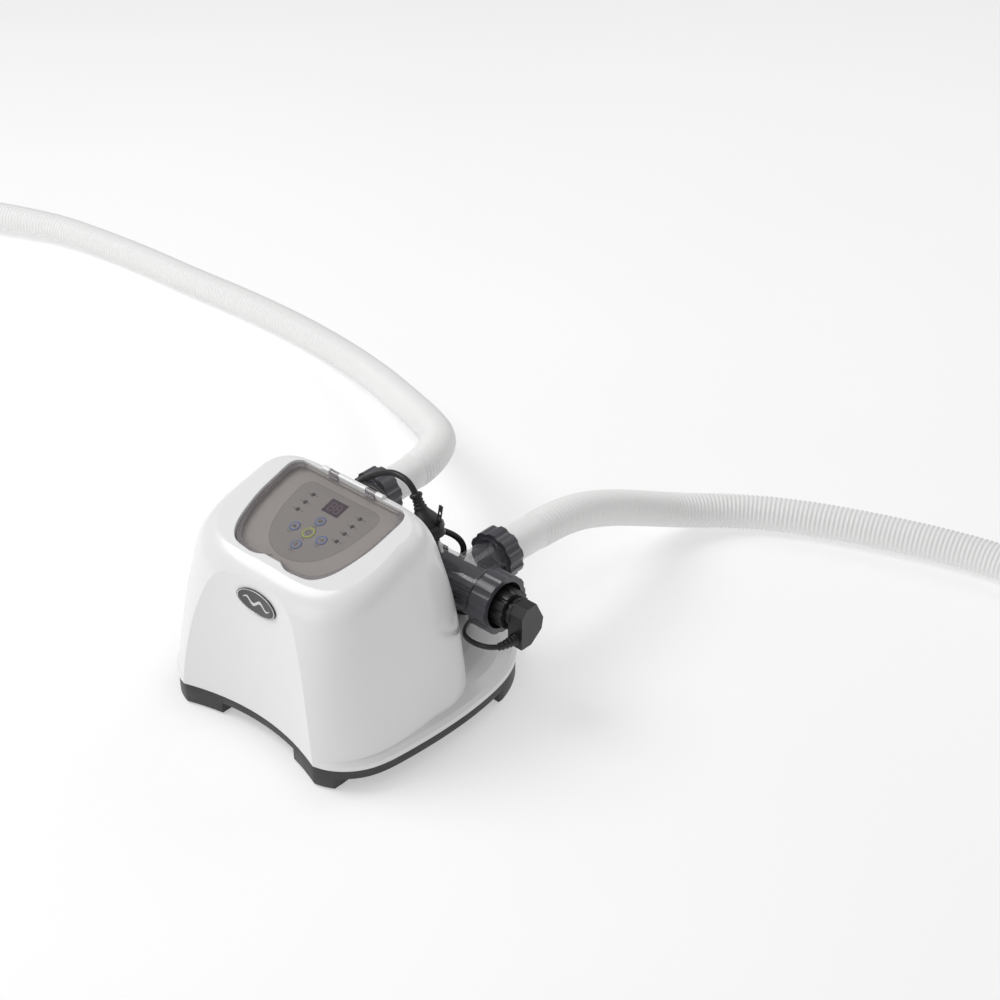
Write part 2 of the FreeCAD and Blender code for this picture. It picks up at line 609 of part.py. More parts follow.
def make_flow_tube():
    start = Vector(-TUBE_HALF_LENGTH, TUBE_Y, TUBE_Z)
    length = 2 * TUBE_HALF_LENGTH
    body = cylinder(TUBE_R, length, start, X_AXIS)
    bore = cylinder(TUBE_BORE, length, start, X_AXIS)
    for side in (-1, 1):
        port = Vector(side * PORT_X, TUBE_Y, TUBE_Z)
        body = body.fuse(cylinder(PORT_R, PORT_END_Y - TUBE_Y, port, Y_AXIS))
        bore = bore.fuse(cylinder(PORT_BORE, PORT_END_Y - TUBE_Y, port, Y_AXIS))
        flange_x = side * (CELL_NUT_X - 3.6)
        flange = cylinder(31.5, 3.0, Vector(min(flange_x, flange_x - side * 3.0), TUBE_Y, TUBE_Z), X_AXIS)
        body = body.fuse(flange)
        body = body.fuse(cylinder(26.0, 3.0, Vector(side * PORT_X, HOSE_NUT_Y - 4.0, TUBE_Z), Y_AXIS))
    for index in range(2, 7):
        rib = block((-70, -0.9, TUBE_R - 1.0), (70, 0.9, TUBE_R + 2.0))
        rib.rotate(Vector(0, 0, 0), X_AXIS, 36.0 * index + 18.0)
        rib.translate(Vector(0, TUBE_Y, TUBE_Z))
        body = body.fuse(rib.cut(saddle_keepout()))
    save("cell_housing", body.cut(bore))


def saddle_keepout():
    boxes = []
    for x in (-SADDLE_X, SADDLE_X):
        boxes.append(block((x - SADDLE_WIDTH / 2 - 1, 20, 90), (x + SADDLE_WIDTH / 2 + 1, 130, 190)))
    return group(boxes)


def make_saddles():
    """Two saddles carry the flow tube on the deck, and a strap screwed to each holds it down."""
    saddles = []
    straps = []
    screws = []
    half = SADDLE_WIDTH / 2
    for x in (-SADDLE_X, SADDLE_X):
        post = block((x - half, REAR_WALL_Y + 0.2, 49.2), (x + half, 112, TUBE_Z))
        post = post.cut(cylinder(TUBE_R, SADDLE_WIDTH, Vector(x - half, TUBE_Y, TUBE_Z), X_AXIS))
        post = post.cut(block((x - half, REAR_WALL_Y + 10, 49), (x + half, 100, 96)))
        post = post.cut(block((x - half, REAR_WALL_Y, 100), (x + half, TUBE_Y - TUBE_R + 4, 150)))
        post = post.cut(block((x - half, 104, 49), (x + half, 120, 96)))
        saddles.append(post)
        strap = ring(TUBE_R + 2.2, TUBE_R, SADDLE_WIDTH, Vector(x - half, TUBE_Y, TUBE_Z), X_AXIS)
        strap = strap.cut(block((x - half, 20, 90), (x + half, 140, TUBE_Z)))
        ear = block((x - half, TUBE_Y + TUBE_R + 0.5, TUBE_Z), (x + half, 112, TUBE_Z + 2.5))
        hole = cylinder(1.9, 4.0, Vector(x, 107, TUBE_Z - 1), Z_AXIS)
        straps.append(strap.fuse(ear).cut(hole))
        screws.append(screw(1.8, 3.4, 12.0, Vector(x, 107, TUBE_Z + 2.5), Vector(0, 0, -1)))
        saddles[-1] = saddles[-1].cut(cylinder(1.8, 12.0, Vector(x, 107, TUBE_Z - 9.5), Z_AXIS))
    save("tube_saddles", group(saddles))
    save("tube_straps", group(straps))
    save("strap_screws", group(screws))


def right_angle_cap(side, reach):
    """The moulded cap on a lead: a round neck, a six-sided back and a stub for the lead in front."""
    outline = [(58.2, 146), (66, 154.5), (82, 154.5), (93.5, 131), (91, 117), (74, 104.5), (58.2, 105)]
    corners = [Vector(side * (reach - 20.0), y, z) for y, z in outline]
    back = Part.Face(Part.makePolygon(corners + corners[:1])).extrude(Vector(side * 20.0, 0, 0))
    stub_x, stub_y, stub_z = CELL_ROUTE[-1]
    stub = Part.makeCone(8.6, 6.2, 6.0, Vector(side * stub_x, stub_y + 6.0, stub_z), Vector(0, -1, 0))
    return back.fuse(stub)


def make_cell():
    face = TUBE_HALF_LENGTH
    plates = [block((-62, TUBE_Y - 17, TUBE_Z - 15 + 5 * k), (face - 12, TUBE_Y + 17, TUBE_Z - 13.8 + 5 * k))
              for k in range(7)]
    save("cell_plates", group(plates))
    spacer = cylinder(TUBE_BORE - 0.3, 12.0, Vector(face - 12, TUBE_Y, TUBE_Z), X_AXIS)
    flange = cylinder(TUBE_R, 3.0, Vector(face + 1.5, TUBE_Y, TUBE_Z), X_AXIS)
    neck = cylinder(TUBE_BORE - 0.3, 1.5, Vector(face, TUBE_Y, TUBE_Z), X_AXIS)
    knob = cylinder(HEAD_R, 29.5, Vector(face + 4.5, TUBE_Y, TUBE_Z), X_AXIS)
    for index in range(10):
        direction = Rotation(X_AXIS, 36.0 * index).multVec(Z_AXIS)
        centre = Vector(face + 4.5, TUBE_Y, TUBE_Z).add(direction.multiply(HEAD_R + 0.8))
        knob = knob.cut(cylinder(2.6, 29.5, centre, X_AXIS))
    socket = cylinder(17.0, 6.0, Vector(face + 28, TUBE_Y, TUBE_Z), X_AXIS)
    head = spacer.fuse(flange).fuse(neck).fuse(knob).cut(socket)
    save("cell_head", head)

    neck = cylinder(16.5, 12.0, Vector(face + 28, TUBE_Y, TUBE_Z), X_AXIS)
    save("cell_plug", neck.fuse(right_angle_cap(1, face + 58.0)))


def make_sensor():
    """The flow sensor closes the tube's left end: a cap with a hinged paddle in the stream."""
    face = -TUBE_HALF_LENGTH
    left = Vector(-1, 0, 0)
    spacer = cylinder(TUBE_BORE - 0.3, 12.0, Vector(face + 12, TUBE_Y, TUBE_Z), left)
    neck = cylinder(TUBE_BORE - 0.3, 1.5, Vector(face, TUBE_Y, TUBE_Z), left)
    flange = cylinder(TUBE_R, 3.0, Vector(face - 1.5, TUBE_Y, TUBE_Z), left)
    knob = cylinder(HEAD_R, 29.5, Vector(face - 4.5, TUBE_Y, TUBE_Z), left)
    neck = neck.fuse(cylinder(16.5, 12.0, Vector(face - 30, TUBE_Y, TUBE_Z), left))
    for index in range(10):
        direction = Rotation(X_AXIS, 36.0 * index).multVec(Z_AXIS)
        centre = Vector(face - 4.5, TUBE_Y, TUBE_Z).add(direction.multiply(HEAD_R + 0.8))
        knob = knob.cut(cylinder(2.6, 29.5, centre, left))
    body = spacer.fuse(neck).fuse(flange).fuse(knob).fuse(right_angle_cap(-1, 58.0 - face))
    for side in (-1, 1):
        low = TUBE_Y + side * 6.0 - 1.5
        body = body.fuse(block((face + 12, low, TUBE_Z + 8), (face + 24, low + 3.0, TUBE_Z + 18)))
    body = body.cut(cylinder(1.0, 20.0, Vector(face + 20, TUBE_Y - 10, TUBE_Z + 13), Y_AXIS))
    save("sensor_body", body)
    paddle = cylinder(2.6, 8.4, Vector(face + 20, TUBE_Y - 4.2, TUBE_Z + 13), Y_AXIS)
    paddle = paddle.fuse(block((face + 19.2, TUBE_Y - 4.2, TUBE_Z - 6), (face + 20.8, TUBE_Y + 4.2, TUBE_Z + 13)))
    blade = cylinder(12.0, 1.6, Vector(face + 19.2, TUBE_Y, TUBE_Z - 6), X_AXIS)
    paddle = paddle.fuse(blade)
    paddle = paddle.cut(cylinder(1.05, 10.0, Vector(face + 20, TUBE_Y - 5, TUBE_Z + 13), Y_AXIS))
    save("sensor_paddle", paddle)
    save("paddle_pin", cylinder(1.0, 15.0, Vector(face + 20, TUBE_Y - 7.5, TUBE_Z + 13), Y_AXIS))


def make_end_nuts():
    rings = []
    for name, side in (("cell_nut", 1), ("sensor_nut", -1)):
        axis = Vector(side, 0, 0)
        start = Vector(side * CELL_NUT_X, TUBE_Y, TUBE_Z)
        lip = CELL_NUT_X + CELL_NUT_LENGTH - (TUBE_HALF_LENGTH + 4.5) - 0.4
        nut = lobed_nut(CELL_NUT_R, TUBE_R + NUT_FIT, CELL_NUT_MOUTH_R, CELL_NUT_LENGTH, lip, start, axis, 12, 1.4)
        save(name, nut)
        rings.append(ring(TUBE_R - 0.4, TUBE_BORE, 1.5, Vector(side * TUBE_HALF_LENGTH, TUBE_Y, TUBE_Z), axis))
    save("end_seals", group(rings))


def make_hose_side(side, word, route):
    port = Vector(side * PORT_X, 0, TUBE_Z)
    gasket_start = Vector(port.x, PORT_END_Y, port.z)
    gasket = ring(PORT_R - 0.4, PORT_BORE, 1.5, gasket_start, Y_AXIS)
    tail_start = Vector(port.x, PORT_END_Y + 1.5, port.z)
    flange = ring(PORT_R, 17.0, 1.9, tail_start, Y_AXIS)
    flange_end = Vector(port.x, PORT_END_Y + 3.4, port.z)
    sleeve = ring(20.0, 17.0, HOSE_START_Y - flange_end.y, flange_end, Y_AXIS)
    tail = flange.fuse(sleeve)
    lip = HOSE_NUT_Y + HOSE_NUT_LENGTH - flange_end.y - 0.3
    start = Vector(port.x, HOSE_NUT_Y, port.z)
    nut = lobed_nut(HOSE_NUT_R, PORT_R + NUT_FIT, 20.4, HOSE_NUT_LENGTH, lip, start, Y_AXIS, 10, 2.2)
    save("hose_nut_" + word, nut)
    save("hose_" + word, swept_tube(route, HOSE_R, HOSE_BORE, "hose_" + word))

    end = Vector(*route[-1])
    axis = end.sub(Vector(*route[-2])).normalize()
    cuff = ring(21.0, 19.0, CUFF_LENGTH, end, axis)
    flange_at = end.add(Vector(axis).multiply(CUFF_LENGTH))
    cuff = cuff.fuse(ring(24.0, 19.0, 3.0, flange_at, axis))
    save("hose_cuff_" + word, cuff)
    nut_at = end.add(Vector(axis).multiply(CUFF_LENGTH - 6.0))
    far = lobed_nut(HOSE_NUT_R, 21.0 + NUT_FIT, 24.5, HOSE_NUT_LENGTH, 0.0, nut_at, axis, 10, 2.2)
    far = ring(HOSE_NUT_R, 21.0 + NUT_FIT, 5.6, nut_at, axis).common(far.fuse(
        ring(25.0, 21.0 + NUT_FIT, 5.6, nut_at, axis)))
    rest = lobed_nut(HOSE_NUT_R, 24.4, 24.4, HOSE_NUT_LENGTH - 5.6, 0.0,
                     nut_at.add(Vector(axis).multiply(5.6)), axis, 10, 2.2)
    save("far_nut_" + word, far.fuse(rest))
    return gasket, tail


# ---------------------------------------------------------------- mains cord and leads

def hank_solid():
    outline = []
    for radius in (HANK_END_R, HANK_CORE_R):
        half = HANK_RUN / 2
        right = Part.Arc(Vector(half, -radius, 0), Vector(half + radius, 0, 0), Vector(half, radius, 0))
        left = Part.Arc(Vector(-half, radius, 0), Vector(-half - radius, 0, 0), Vector(-half, -radius, 0))
        upper = Part.LineSegment(Vector(half, radius, 0), Vector(-half, radius, 0))
        lower = Part.LineSegment(Vector(-half, -radius, 0), Vector(half, -radius, 0))
        wire = Part.Wire([right.toShape(), upper.toShape(), left.toShape(), lower.toShape()])
        outline.append(Part.Face(wire).extrude(Vector(0, 0, HANK_HEIGHT)))
    hank = outline[0]
    rims = [edge for edge in hank.Edges if edge.BoundBox.ZLength < 0.01]
    hank = hank.makeFillet(5.0, rims).cut(outline[1])
    hank.Placement = Placement(HANK_CENTRE, Rotation(X_AXIS, 90.0))
    return hank


def make_mains():
    save("mains_cord", swept_tube(MAINS_ROUTE_OUT, MAINS_R, 0, "mains_cord"))
    save("mains_hank", hank_solid())
    save("mains_cord_end", swept_tube(MAINS_ROUTE_PLUG, MAINS_R, 0, "mains_cord_end"))
    axis = Vector(PLUG_AXIS).normalize()
    boot = Part.makeCone(4.6, PLUG_NECK_R, PLUG_BOOT_LENGTH, PLUG_START, axis)
    grip = cylinder(PLUG_R, PLUG_GRIP_LENGTH, PLUG_START.add(Vector(axis).multiply(PLUG_GRIP_START)), axis)
    neck = Part.makeCone(PLUG_NECK_R, PLUG_R, 4.0, PLUG_START.add(Vector(axis).multiply(22.0)), axis)
    plug = boot.fuse(neck).fuse(grip)
    side = axis.cross(Y_AXIS)
    for sign in (-1, 1):
        foot = PLUG_START.add(Vector(axis).multiply(PLUG_GRIP_START + PLUG_GRIP_LENGTH))
        foot = foot.add(Vector(side).multiply(sign * PLUG_PIN_SPREAD))
        plug = plug.fuse(cylinder(PLUG_PIN_R, PLUG_PIN_LENGTH, foot, axis))
    save("mains_plug", plug)
    tie_at = PLUG_START.add(Vector(axis).multiply(PLUG_TIE_AT))
    plug_tie = ring(PLUG_R + 1.7, PLUG_R + 0.1, TIE_WIDTH, tie_at, axis)
    tail = block((79.0, 59.2, 208.0), (84.0, 60.8, 240.0))
    tail = tail.cut(block((80.2, 59, 220), (82.8, 61, 225))).cut(block((80.2, 59, 227), (82.8, 61, 232)))
    tail.rotate(Vector(81.5, 60, 213), Y_AXIS, 10.0)
    plug_tie = plug_tie.fuse(tail.cut(cylinder(PLUG_R + 0.1, 60.0, PLUG_START, axis)))
    low_y, high_y = HANK_CENTRE.y - HANK_HEIGHT - 0.1, HANK_CENTRE.y + 0.1
    low_z, high_z = HANK_CENTRE.z + HANK_CORE_R - 0.1, HANK_CENTRE.z + HANK_END_R + 0.1
    end_x = HANK_TIE_X + TIE_WIDTH
    band = block((HANK_TIE_X, low_y - TIE_THICK, low_z - TIE_THICK), (end_x, high_y + TIE_THICK, high_z + TIE_THICK))
    hole = block((HANK_TIE_X, low_y, low_z), (end_x, high_y, high_z))
    save("cord_ties", group([plug_tie, band.cut(hole)]))


def make_leads():
    for word, route in (("cell", CELL_ROUTE), ("sensor", SENSOR_ROUTE)):
        save(word + "_lead", swept_tube(route, LEAD_R, 0, word + "_lead"))


make_base()
make_shell()
make_badge()
make_panel()
make_cover()
make_electrics()
make_glands()
make_flow_tube()
make_saddles()
make_cell()
make_sensor()
make_end_nuts()
RIGHT_GASKET, RIGHT_TAIL = make_hose_side(1, "right", HOSE_RIGHT)
LEFT_GASKET, LEFT_TAIL = make_hose_side(-1, "left", HOSE_LEFT)
save("hose_gaskets", group([RIGHT_GASKET, LEFT_GASKET]))
save("hose_tails", group([RIGHT_TAIL, LEFT_TAIL]))
make_mains()
make_leads()
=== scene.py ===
"""Looks of a salt chlorine generator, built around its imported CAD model.

Everything is in metres in the model's frame: +Z up, +X right, the front faces -Y.
Sizes written in millimetres go through mm().
"""

import math

import bmesh
import bpy
import numpy as np
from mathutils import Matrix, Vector


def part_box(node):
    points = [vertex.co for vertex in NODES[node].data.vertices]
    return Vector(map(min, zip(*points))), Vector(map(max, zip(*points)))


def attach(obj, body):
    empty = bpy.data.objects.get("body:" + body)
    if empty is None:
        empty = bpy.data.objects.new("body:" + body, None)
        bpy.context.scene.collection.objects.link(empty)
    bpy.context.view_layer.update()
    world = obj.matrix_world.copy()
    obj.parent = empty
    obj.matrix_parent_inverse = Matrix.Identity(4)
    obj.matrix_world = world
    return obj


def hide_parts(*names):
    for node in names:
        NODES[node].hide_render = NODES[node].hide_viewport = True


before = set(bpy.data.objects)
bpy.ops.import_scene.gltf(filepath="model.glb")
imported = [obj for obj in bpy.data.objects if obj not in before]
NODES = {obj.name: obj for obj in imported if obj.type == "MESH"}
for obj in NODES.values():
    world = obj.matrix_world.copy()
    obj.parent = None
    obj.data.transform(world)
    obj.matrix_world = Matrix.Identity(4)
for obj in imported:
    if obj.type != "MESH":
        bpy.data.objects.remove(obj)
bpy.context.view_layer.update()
HOUSING = "housing"


def mm(value):
    """Millimetres to metres, for a number or for points."""
    if isinstance(value, (int, float)):
        return value * 0.001
    return [mm(part) for part in value]


# ---------------------------------------------------------------- sizes that the model has, in mm

TOP_SLOPE = math.radians(16.4)
TOP_ORIGIN = np.array((0.0, -1.8, 246.6))
TOP_U = np.array((1.0, 0.0, 0.0))
TOP_V = np.array((0.0, math.cos(TOP_SLOPE), math.sin(TOP_SLOPE)))
TOP_W = np.array((0.0, -math.sin(TOP_SLOPE), math.cos(TOP_SLOPE)))
COVER_HALF_WIDTH = 87.0
COVER_REAR_V = 13.5
COVER_FRONT_V = -113.0
COVER_TOP_W = 0.5
PANEL_W = -6.5
KEY_TOP_W = -6.0
KEYS = {
    "centre": (0.0, -57.5, 7.6),
    "rear": (0.0, -38.8, 6.4),
    "front": (0.0, -76.8, 6.4),
    "left": (-20.7, -58.1, 6.4),
    "right": (20.7, -58.1, 6.4),
}
LED_X = 36.2
LED_LEFT_V = (-13.4, -26.0, -38.2)
LED_RIGHT_V = (-13.4, -26.0, -38.2, -50.5)
DISPLAY_V = -15.8
KNUCKLE_X = 28.0         # the cover's hinge knuckles: their middles,
KNUCKLE_REACH = 7.6      # how far each reaches to either side of its middle,
KNUCKLE_FRONT_Y = 8.5    # and where they begin
FACE_Y = -144.3          # the front face in the middle, at the height FACE_FOOT_Z
FACE_FOOT_Z = 28.0
FACE_LEAN = 3.66e-4      # how it falls back above that height, per mm squared
FACE_HOLLOW = 582.0      # how it comes forward to the sides: x squared over this

# ---- routes of the hoses and cords, the same points as the model's ----
HOSE_R = 22.5
HOSE_BORE = 20.5
HOSE_RIGHT = [
    (95, 153, 139), (95.5, 205, 139), (91, 275, 127), (87, 345, 98), (88, 415, 63), (103, 480, 34),
    (142, 538, 22.6), (207, 580, 22.6), (283, 614, 22.6), (370, 645, 22.6), (461, 668, 22.6),
    (560, 666, 22.6), (652, 630, 22.6), (727, 564, 22.6), (777, 477, 22.6), (807, 382, 29),
    (845, 297, 31.6),
]
HOSE_LEFT = [
    (-95, 153, 139), (-95.5, 200, 139), (-109, 249, 135), (-142, 299, 124), (-210, 344, 103),
    (-306, 400, 72), (-411, 456, 43), (-525, 494, 27), (-640, 511, 22.6), (-762, 514, 22.6),
    (-882, 509, 22.6), (-1000, 509, 22.6), (-1116, 502, 22.6), (-1222, 482, 28), (-1312, 441, 31.6),
]
MAINS_R = 3.6
MAINS_ROUTE_OUT = [
    (-95, 62, 176), (-95, 81, 176), (-88, 97, 175.5), (-73, 107, 175), (-54, 106, 174), (-30, 96, 173),
    (2, 89, 172.5), (32, 91, 173), (53, 101, 171.5), (64, 110, 163), (67, 116, 149), (63, 118, 132),
    (53, 117.5, 118), (38, 116.5, 111),
]
MAINS_ROUTE_PLUG = [
    (-22, 123.5, 110.8), (-40, 123.5, 113.5), (-53, 122.5, 125), (-58, 118, 141), (-58, 109, 157),
    (-57, 96, 171.5), (-57, 83, 187), (-53, 69, 201), (-42, 61, 217), (-24, 60, 231),
    (-5, 60, 243.5), (14, 60, 252.3), (32, 60, 252.3), (42.5, 60, 246.8), (48, 60, 238.6),
]
HANK_CENTRE = (-2.0, 112.4, 82.0)
HANK_RUN = 110.0
HANK_END_R = 32.4
HANK_LAYERS = 2
HANK_COLUMNS = 2
PLUG_START = (48.0, 60.0, 238.6)
PLUG_AXIS = (0.423, 0.0, -0.906)
PIN_FROM = 52.0          # where the plug's pins begin, along its axis
PIN_SPREAD = 9.5         # and how far each is from the axis
LEAD_R = 3.0
CELL_ROUTE = [
    (60, 64, 84), (60, 83, 84), (75, 98, 85), (97, 97, 88), (113, 83, 94), (123, 63, 101), (134, 43, 107),
    (148, 29, 112), (165, 24, 115), (183, 27.5, 116), (194, 40, 116), (194, 58, 116),
]
SENSOR_ROUTE = [
    (-60, 64, 84), (-60, 83, 84), (-74, 99, 85), (-96, 99, 88), (-112, 85, 94), (-123, 65, 101),
    (-133, 45, 107), (-147, 30, 112), (-164, 24, 115), (-182, 27.5, 116), (-194, 40, 116), (-194, 58, 116),
]


def top(u, v, w):
    """A point of the sloping top's own frame, in metres."""
    return (TOP_ORIGIN + u * TOP_U + v * TOP_V + w * TOP_W) * 0.001


# ---------------------------------------------------------------- camera

CAMERA_PLACE = (1.2187, -1.1166, 1.3132)
CAMERA_AZIMUTH = math.radians(41.684)
CAMERA_ELEVATION = math.radians(33.152)
CAMERA_LENS = 65.40      # mm, on a sensor of 36 mm


def make_camera():
    """The photograph's viewing angle."""
    data = bpy.data.cameras.new("camera")
    data.lens, data.sensor_width = CAMERA_LENS, 36.0
    data.clip_start, data.clip_end = 0.05, 50.0
    camera = bpy.data.objects.new("camera", data)
    camera.location = CAMERA_PLACE
    camera.rotation_euler = (math.pi / 2 - CAMERA_ELEVATION, 0.0, CAMERA_AZIMUTH)
    bpy.context.scene.collection.objects.link(camera)
    bpy.context.scene.camera = camera


# ---------------------------------------------------------------- meshes

def add_mesh(name, points, faces, material, smooth=True):
    """A mesh object at the origin, in the frame's own coordinates."""
    mesh = bpy.data.meshes.new(name)
    mesh.from_pydata([tuple(map(float, p)) for p in points], [], [tuple(map(int, f)) for f in faces])
    mesh.validate()
    work = bmesh.new()
    work.from_mesh(mesh)
    bmesh.ops.recalc_face_normals(work, faces=work.faces)
    work.to_mesh(mesh)
    work.free()
    if smooth:
        mesh.shade_smooth()
    mesh.materials.append(material)
    piece = bpy.data.objects.new(name, mesh)
    bpy.context.scene.collection.objects.link(piece)
    return piece


def nurbs(name, points, radius):
    """A curve object whose NURBS spline has the route's points as its control points."""
    data = bpy.data.curves.new(name, "CURVE")
    data.dimensions = "3D"
    spline = data.splines.new("NURBS")
    spline.points.add(len(points) - 1)
    for knot, place in zip(spline.points, points):
        knot.co = (*place, 1.0)
    spline.use_endpoint_u = True
    spline.order_u = 3
    data.resolution_u = 12
    data.bevel_depth = radius
    data.bevel_resolution = 6
    data.use_fill_caps = True
    return bpy.data.objects.new(name, data)


def line_of(points):
    """The points of the smooth line that a route's NURBS spline follows."""
    bare = nurbs("bare", points, 0.0)
    mesh = bpy.data.meshes.new_from_object(bare)
    line = np.array([v.co for v in mesh.vertices], float)
    bpy.data.curves.remove(bare.data)
    bpy.data.meshes.remove(mesh)
    return line


def lengths_along(line):
    """How far along a line each of its points is."""
    return np.concatenate([[0.0], np.cumsum(np.linalg.norm(np.diff(line, axis=0), axis=1))])


def spaced(line, stations):
    """Points of a line at distances from its start."""
    along = lengths_along(line)
    return np.stack([np.interp(stations, along, line[:, k]) for k in range(3)], axis=1)


def frames_along(points):
    """Two directions across a line at each of its points, without twist."""
    tangents = np.gradient(points, axis=0)
    tangents /= np.linalg.norm(tangents, axis=1)[:, None]
    side = np.cross(tangents[0], (0.0, 0.0, 1.0))
    if np.linalg.norm(side) < 0.1:
        side = np.cross(tangents[0], (1.0, 0.0, 0.0))
    sides = []
    for tangent in tangents:
        side = side - tangent * side.dot(tangent)
        side = side / np.linalg.norm(side)
        sides.append(side)
    sides = np.array(sides)
    return sides, np.cross(tangents, sides)


def grid_faces(rows, columns, wrap_rows=False):
    """Quads of a grid whose columns, and if asked its rows too, close on themselves."""
    faces = []
    for r in range(rows if wrap_rows else rows - 1):
        for c in range(columns):
            n = (c + 1) % columns
            s = (r + 1) % rows
            faces.append((r * columns + c, r * columns + n, s * columns + n, s * columns + c))
    return faces


def sweep(line, stations, radii, sides):
    """Rings of points round a line; radii has a value, or a value for each side, at every station."""
    points = spaced(line, stations)
    across, up = frames_along(points)
    angles = np.linspace(0.0, 2.0 * math.pi, sides, endpoint=False)[None, :, None]
    radii = np.asarray(radii, float).reshape(len(stations), -1)
    radii = np.broadcast_to(radii, (len(stations), sides))
    outward = np.cos(angles) * across[:, None, :] + np.sin(angles) * up[:, None, :]
    rings = points[:, None, :] + radii[..., None] * outward
    return rings.reshape(-1, 3)


def solid_sweep(name, line, stations, radii, sides, material):
    """A swept solid with closed ends."""
    points = sweep(line, stations, radii, sides)
    faces = grid_faces(len(stations), sides)
    last = (len(stations) - 1) * sides
    faces.append(tuple(range(sides - 1, -1, -1)))
    faces.append(tuple(range(last, last + sides)))
    return add_mesh(name, points, faces, material)


def lathe(name, start, axis, profile, sides, material):
    """A solid of revolution: the profile is (distance, radius) pairs in mm from a start along an axis."""
    start, axis = np.array(start, float), np.array(axis, float)
    axis /= np.linalg.norm(axis)
    # the line begins this far before the start, so that stations before the start lie on it
    lead_in = 0.01
    line = np.array([start - axis * lead_in, start + axis * 0.2])
    stations = np.array([mm(distance) + lead_in for distance, _ in profile])
    radii = [mm(radius) for _, radius in profile]
    return solid_sweep(name, line, stations, radii, sides, material)


def soften(piece, width, angle=30.0):
    """Rounded edges, wherever two faces meet at more than an angle."""
    bevel = piece.modifiers.new("edges", "BEVEL")
    bevel.width = mm(width)
    bevel.segments = 2
    bevel.limit_method = "ANGLE"
    bevel.angle_limit = math.radians(angle)


# ---------------------------------------------------------------- materials

def node(tree, kind, inputs=(), **settings):
    """A shader node with its settings, and with values or links on its named inputs."""
    made = tree.nodes.new(kind)
    for key, value in settings.items():
        setattr(made, key, value)
    for key, value in dict(inputs).items():
        if isinstance(value, bpy.types.NodeSocket):
            tree.links.new(value, made.inputs[key])
        else:
            made.inputs[key].default_value = value
    return made


def noise(tree, scale, detail=3.0):
    """Noise in the object's own coordinates, so it moves with a moving part."""
    place = node(tree, "ShaderNodeTexCoord").outputs["Object"]
    return node(tree, "ShaderNodeTexNoise", {"Vector": place, "Scale": scale, "Detail": detail})


def blank(name):
    """A new material, its node tree and its shader."""
    made = bpy.data.materials.new(name)
    made.use_nodes = True
    return made, made.node_tree, made.node_tree.nodes["Principled BSDF"]


def tinted(tree, factor, dark, light):
    """A colour between two, by a factor."""
    mix = node(tree, "ShaderNodeMix", data_type="RGBA")
    tree.links.new(factor, mix.inputs["Factor"])
    mix.inputs[6].default_value = (*dark, 1.0)
    mix.inputs[7].default_value = (*light, 1.0)
    return mix.outputs[2]


def moulded(name, colour, rough, vary=0.04, grain=700.0, depth=0.03, coat=0.0, metal=0.0, edge=0.3,
            cloud=11.0, scratches=False):
    """Plastic, rubber or metal: mottled colour, uneven gloss, a fine grain and softened edges."""
    made, tree, shader = blank(name)
    clouds = noise(tree, cloud)
    dark = [c * (1.0 - vary) for c in colour]
    light = [min(1.0, c * (1.0 + vary)) for c in colour]
    shade = tinted(tree, clouds.outputs["Fac"], dark, light)
    tree.links.new(shade, shader.inputs["Base Color"])
    gloss = node(tree, "ShaderNodeMapRange", {
        "Value": noise(tree, cloud * 4.7, 5.0).outputs["Fac"], "From Min": 0.3, "From Max": 0.7,
        "To Min": rough * 0.86, "To Max": min(1.0, rough * 1.16)})
    tree.links.new(gloss.outputs[0], shader.inputs["Roughness"])
    height = noise(tree, grain, 2.0).outputs["Fac"]
    if scratches:
        place = node(tree, "ShaderNodeTexCoord").outputs["Object"]
        long = node(tree, "ShaderNodeMapping", {"Vector": place, "Scale": (1.0, 1.0, 30.0)}).outputs[0]
        lines = node(tree, "ShaderNodeTexNoise", {"Vector": long, "Scale": 60.0, "Detail": 6.0})
        both = node(tree, "ShaderNodeMath", {0: height, 1: lines.outputs["Fac"]}, operation="ADD")
        height = both.outputs[0]
    bump = node(tree, "ShaderNodeBump", {"Height": height, "Strength": 0.35, "Distance": mm(depth)})
    if edge:
        rounded = node(tree, "ShaderNodeBevel", {"Radius": mm(edge)}, samples=4)
        tree.links.new(rounded.outputs[0], bump.inputs["Normal"])
    tree.links.new(bump.outputs[0], shader.inputs["Normal"])
    shader.inputs["Metallic"].default_value = metal
    shader.inputs["Coat Weight"].default_value = coat
    shader.inputs["Coat Roughness"].default_value = 0.12
    return made


def top_distance(tree, u, v):
    """The distance in mm from a point of the sloping top, measured in its plane."""
    place = node(tree, "ShaderNodeTexCoord").outputs["Object"]
    parts = []
    for axis, value in ((TOP_U, u), (TOP_V, v)):
        in_mm = tuple(axis * 1000.0)
        dot = node(tree, "ShaderNodeVectorMath", {0: place, 1: in_mm}, operation="DOT_PRODUCT")
        shift = float(TOP_ORIGIN.dot(axis) + value)
        parts.append(node(tree, "ShaderNodeMath", {0: dot.outputs["Value"], 1: shift},
                          operation="SUBTRACT"))
    flat = node(tree, "ShaderNodeCombineXYZ", {"X": parts[0].outputs[0], "Y": parts[1].outputs[0]})
    return node(tree, "ShaderNodeVectorMath", {0: flat.outputs[0]}, operation="LENGTH").outputs["Value"]


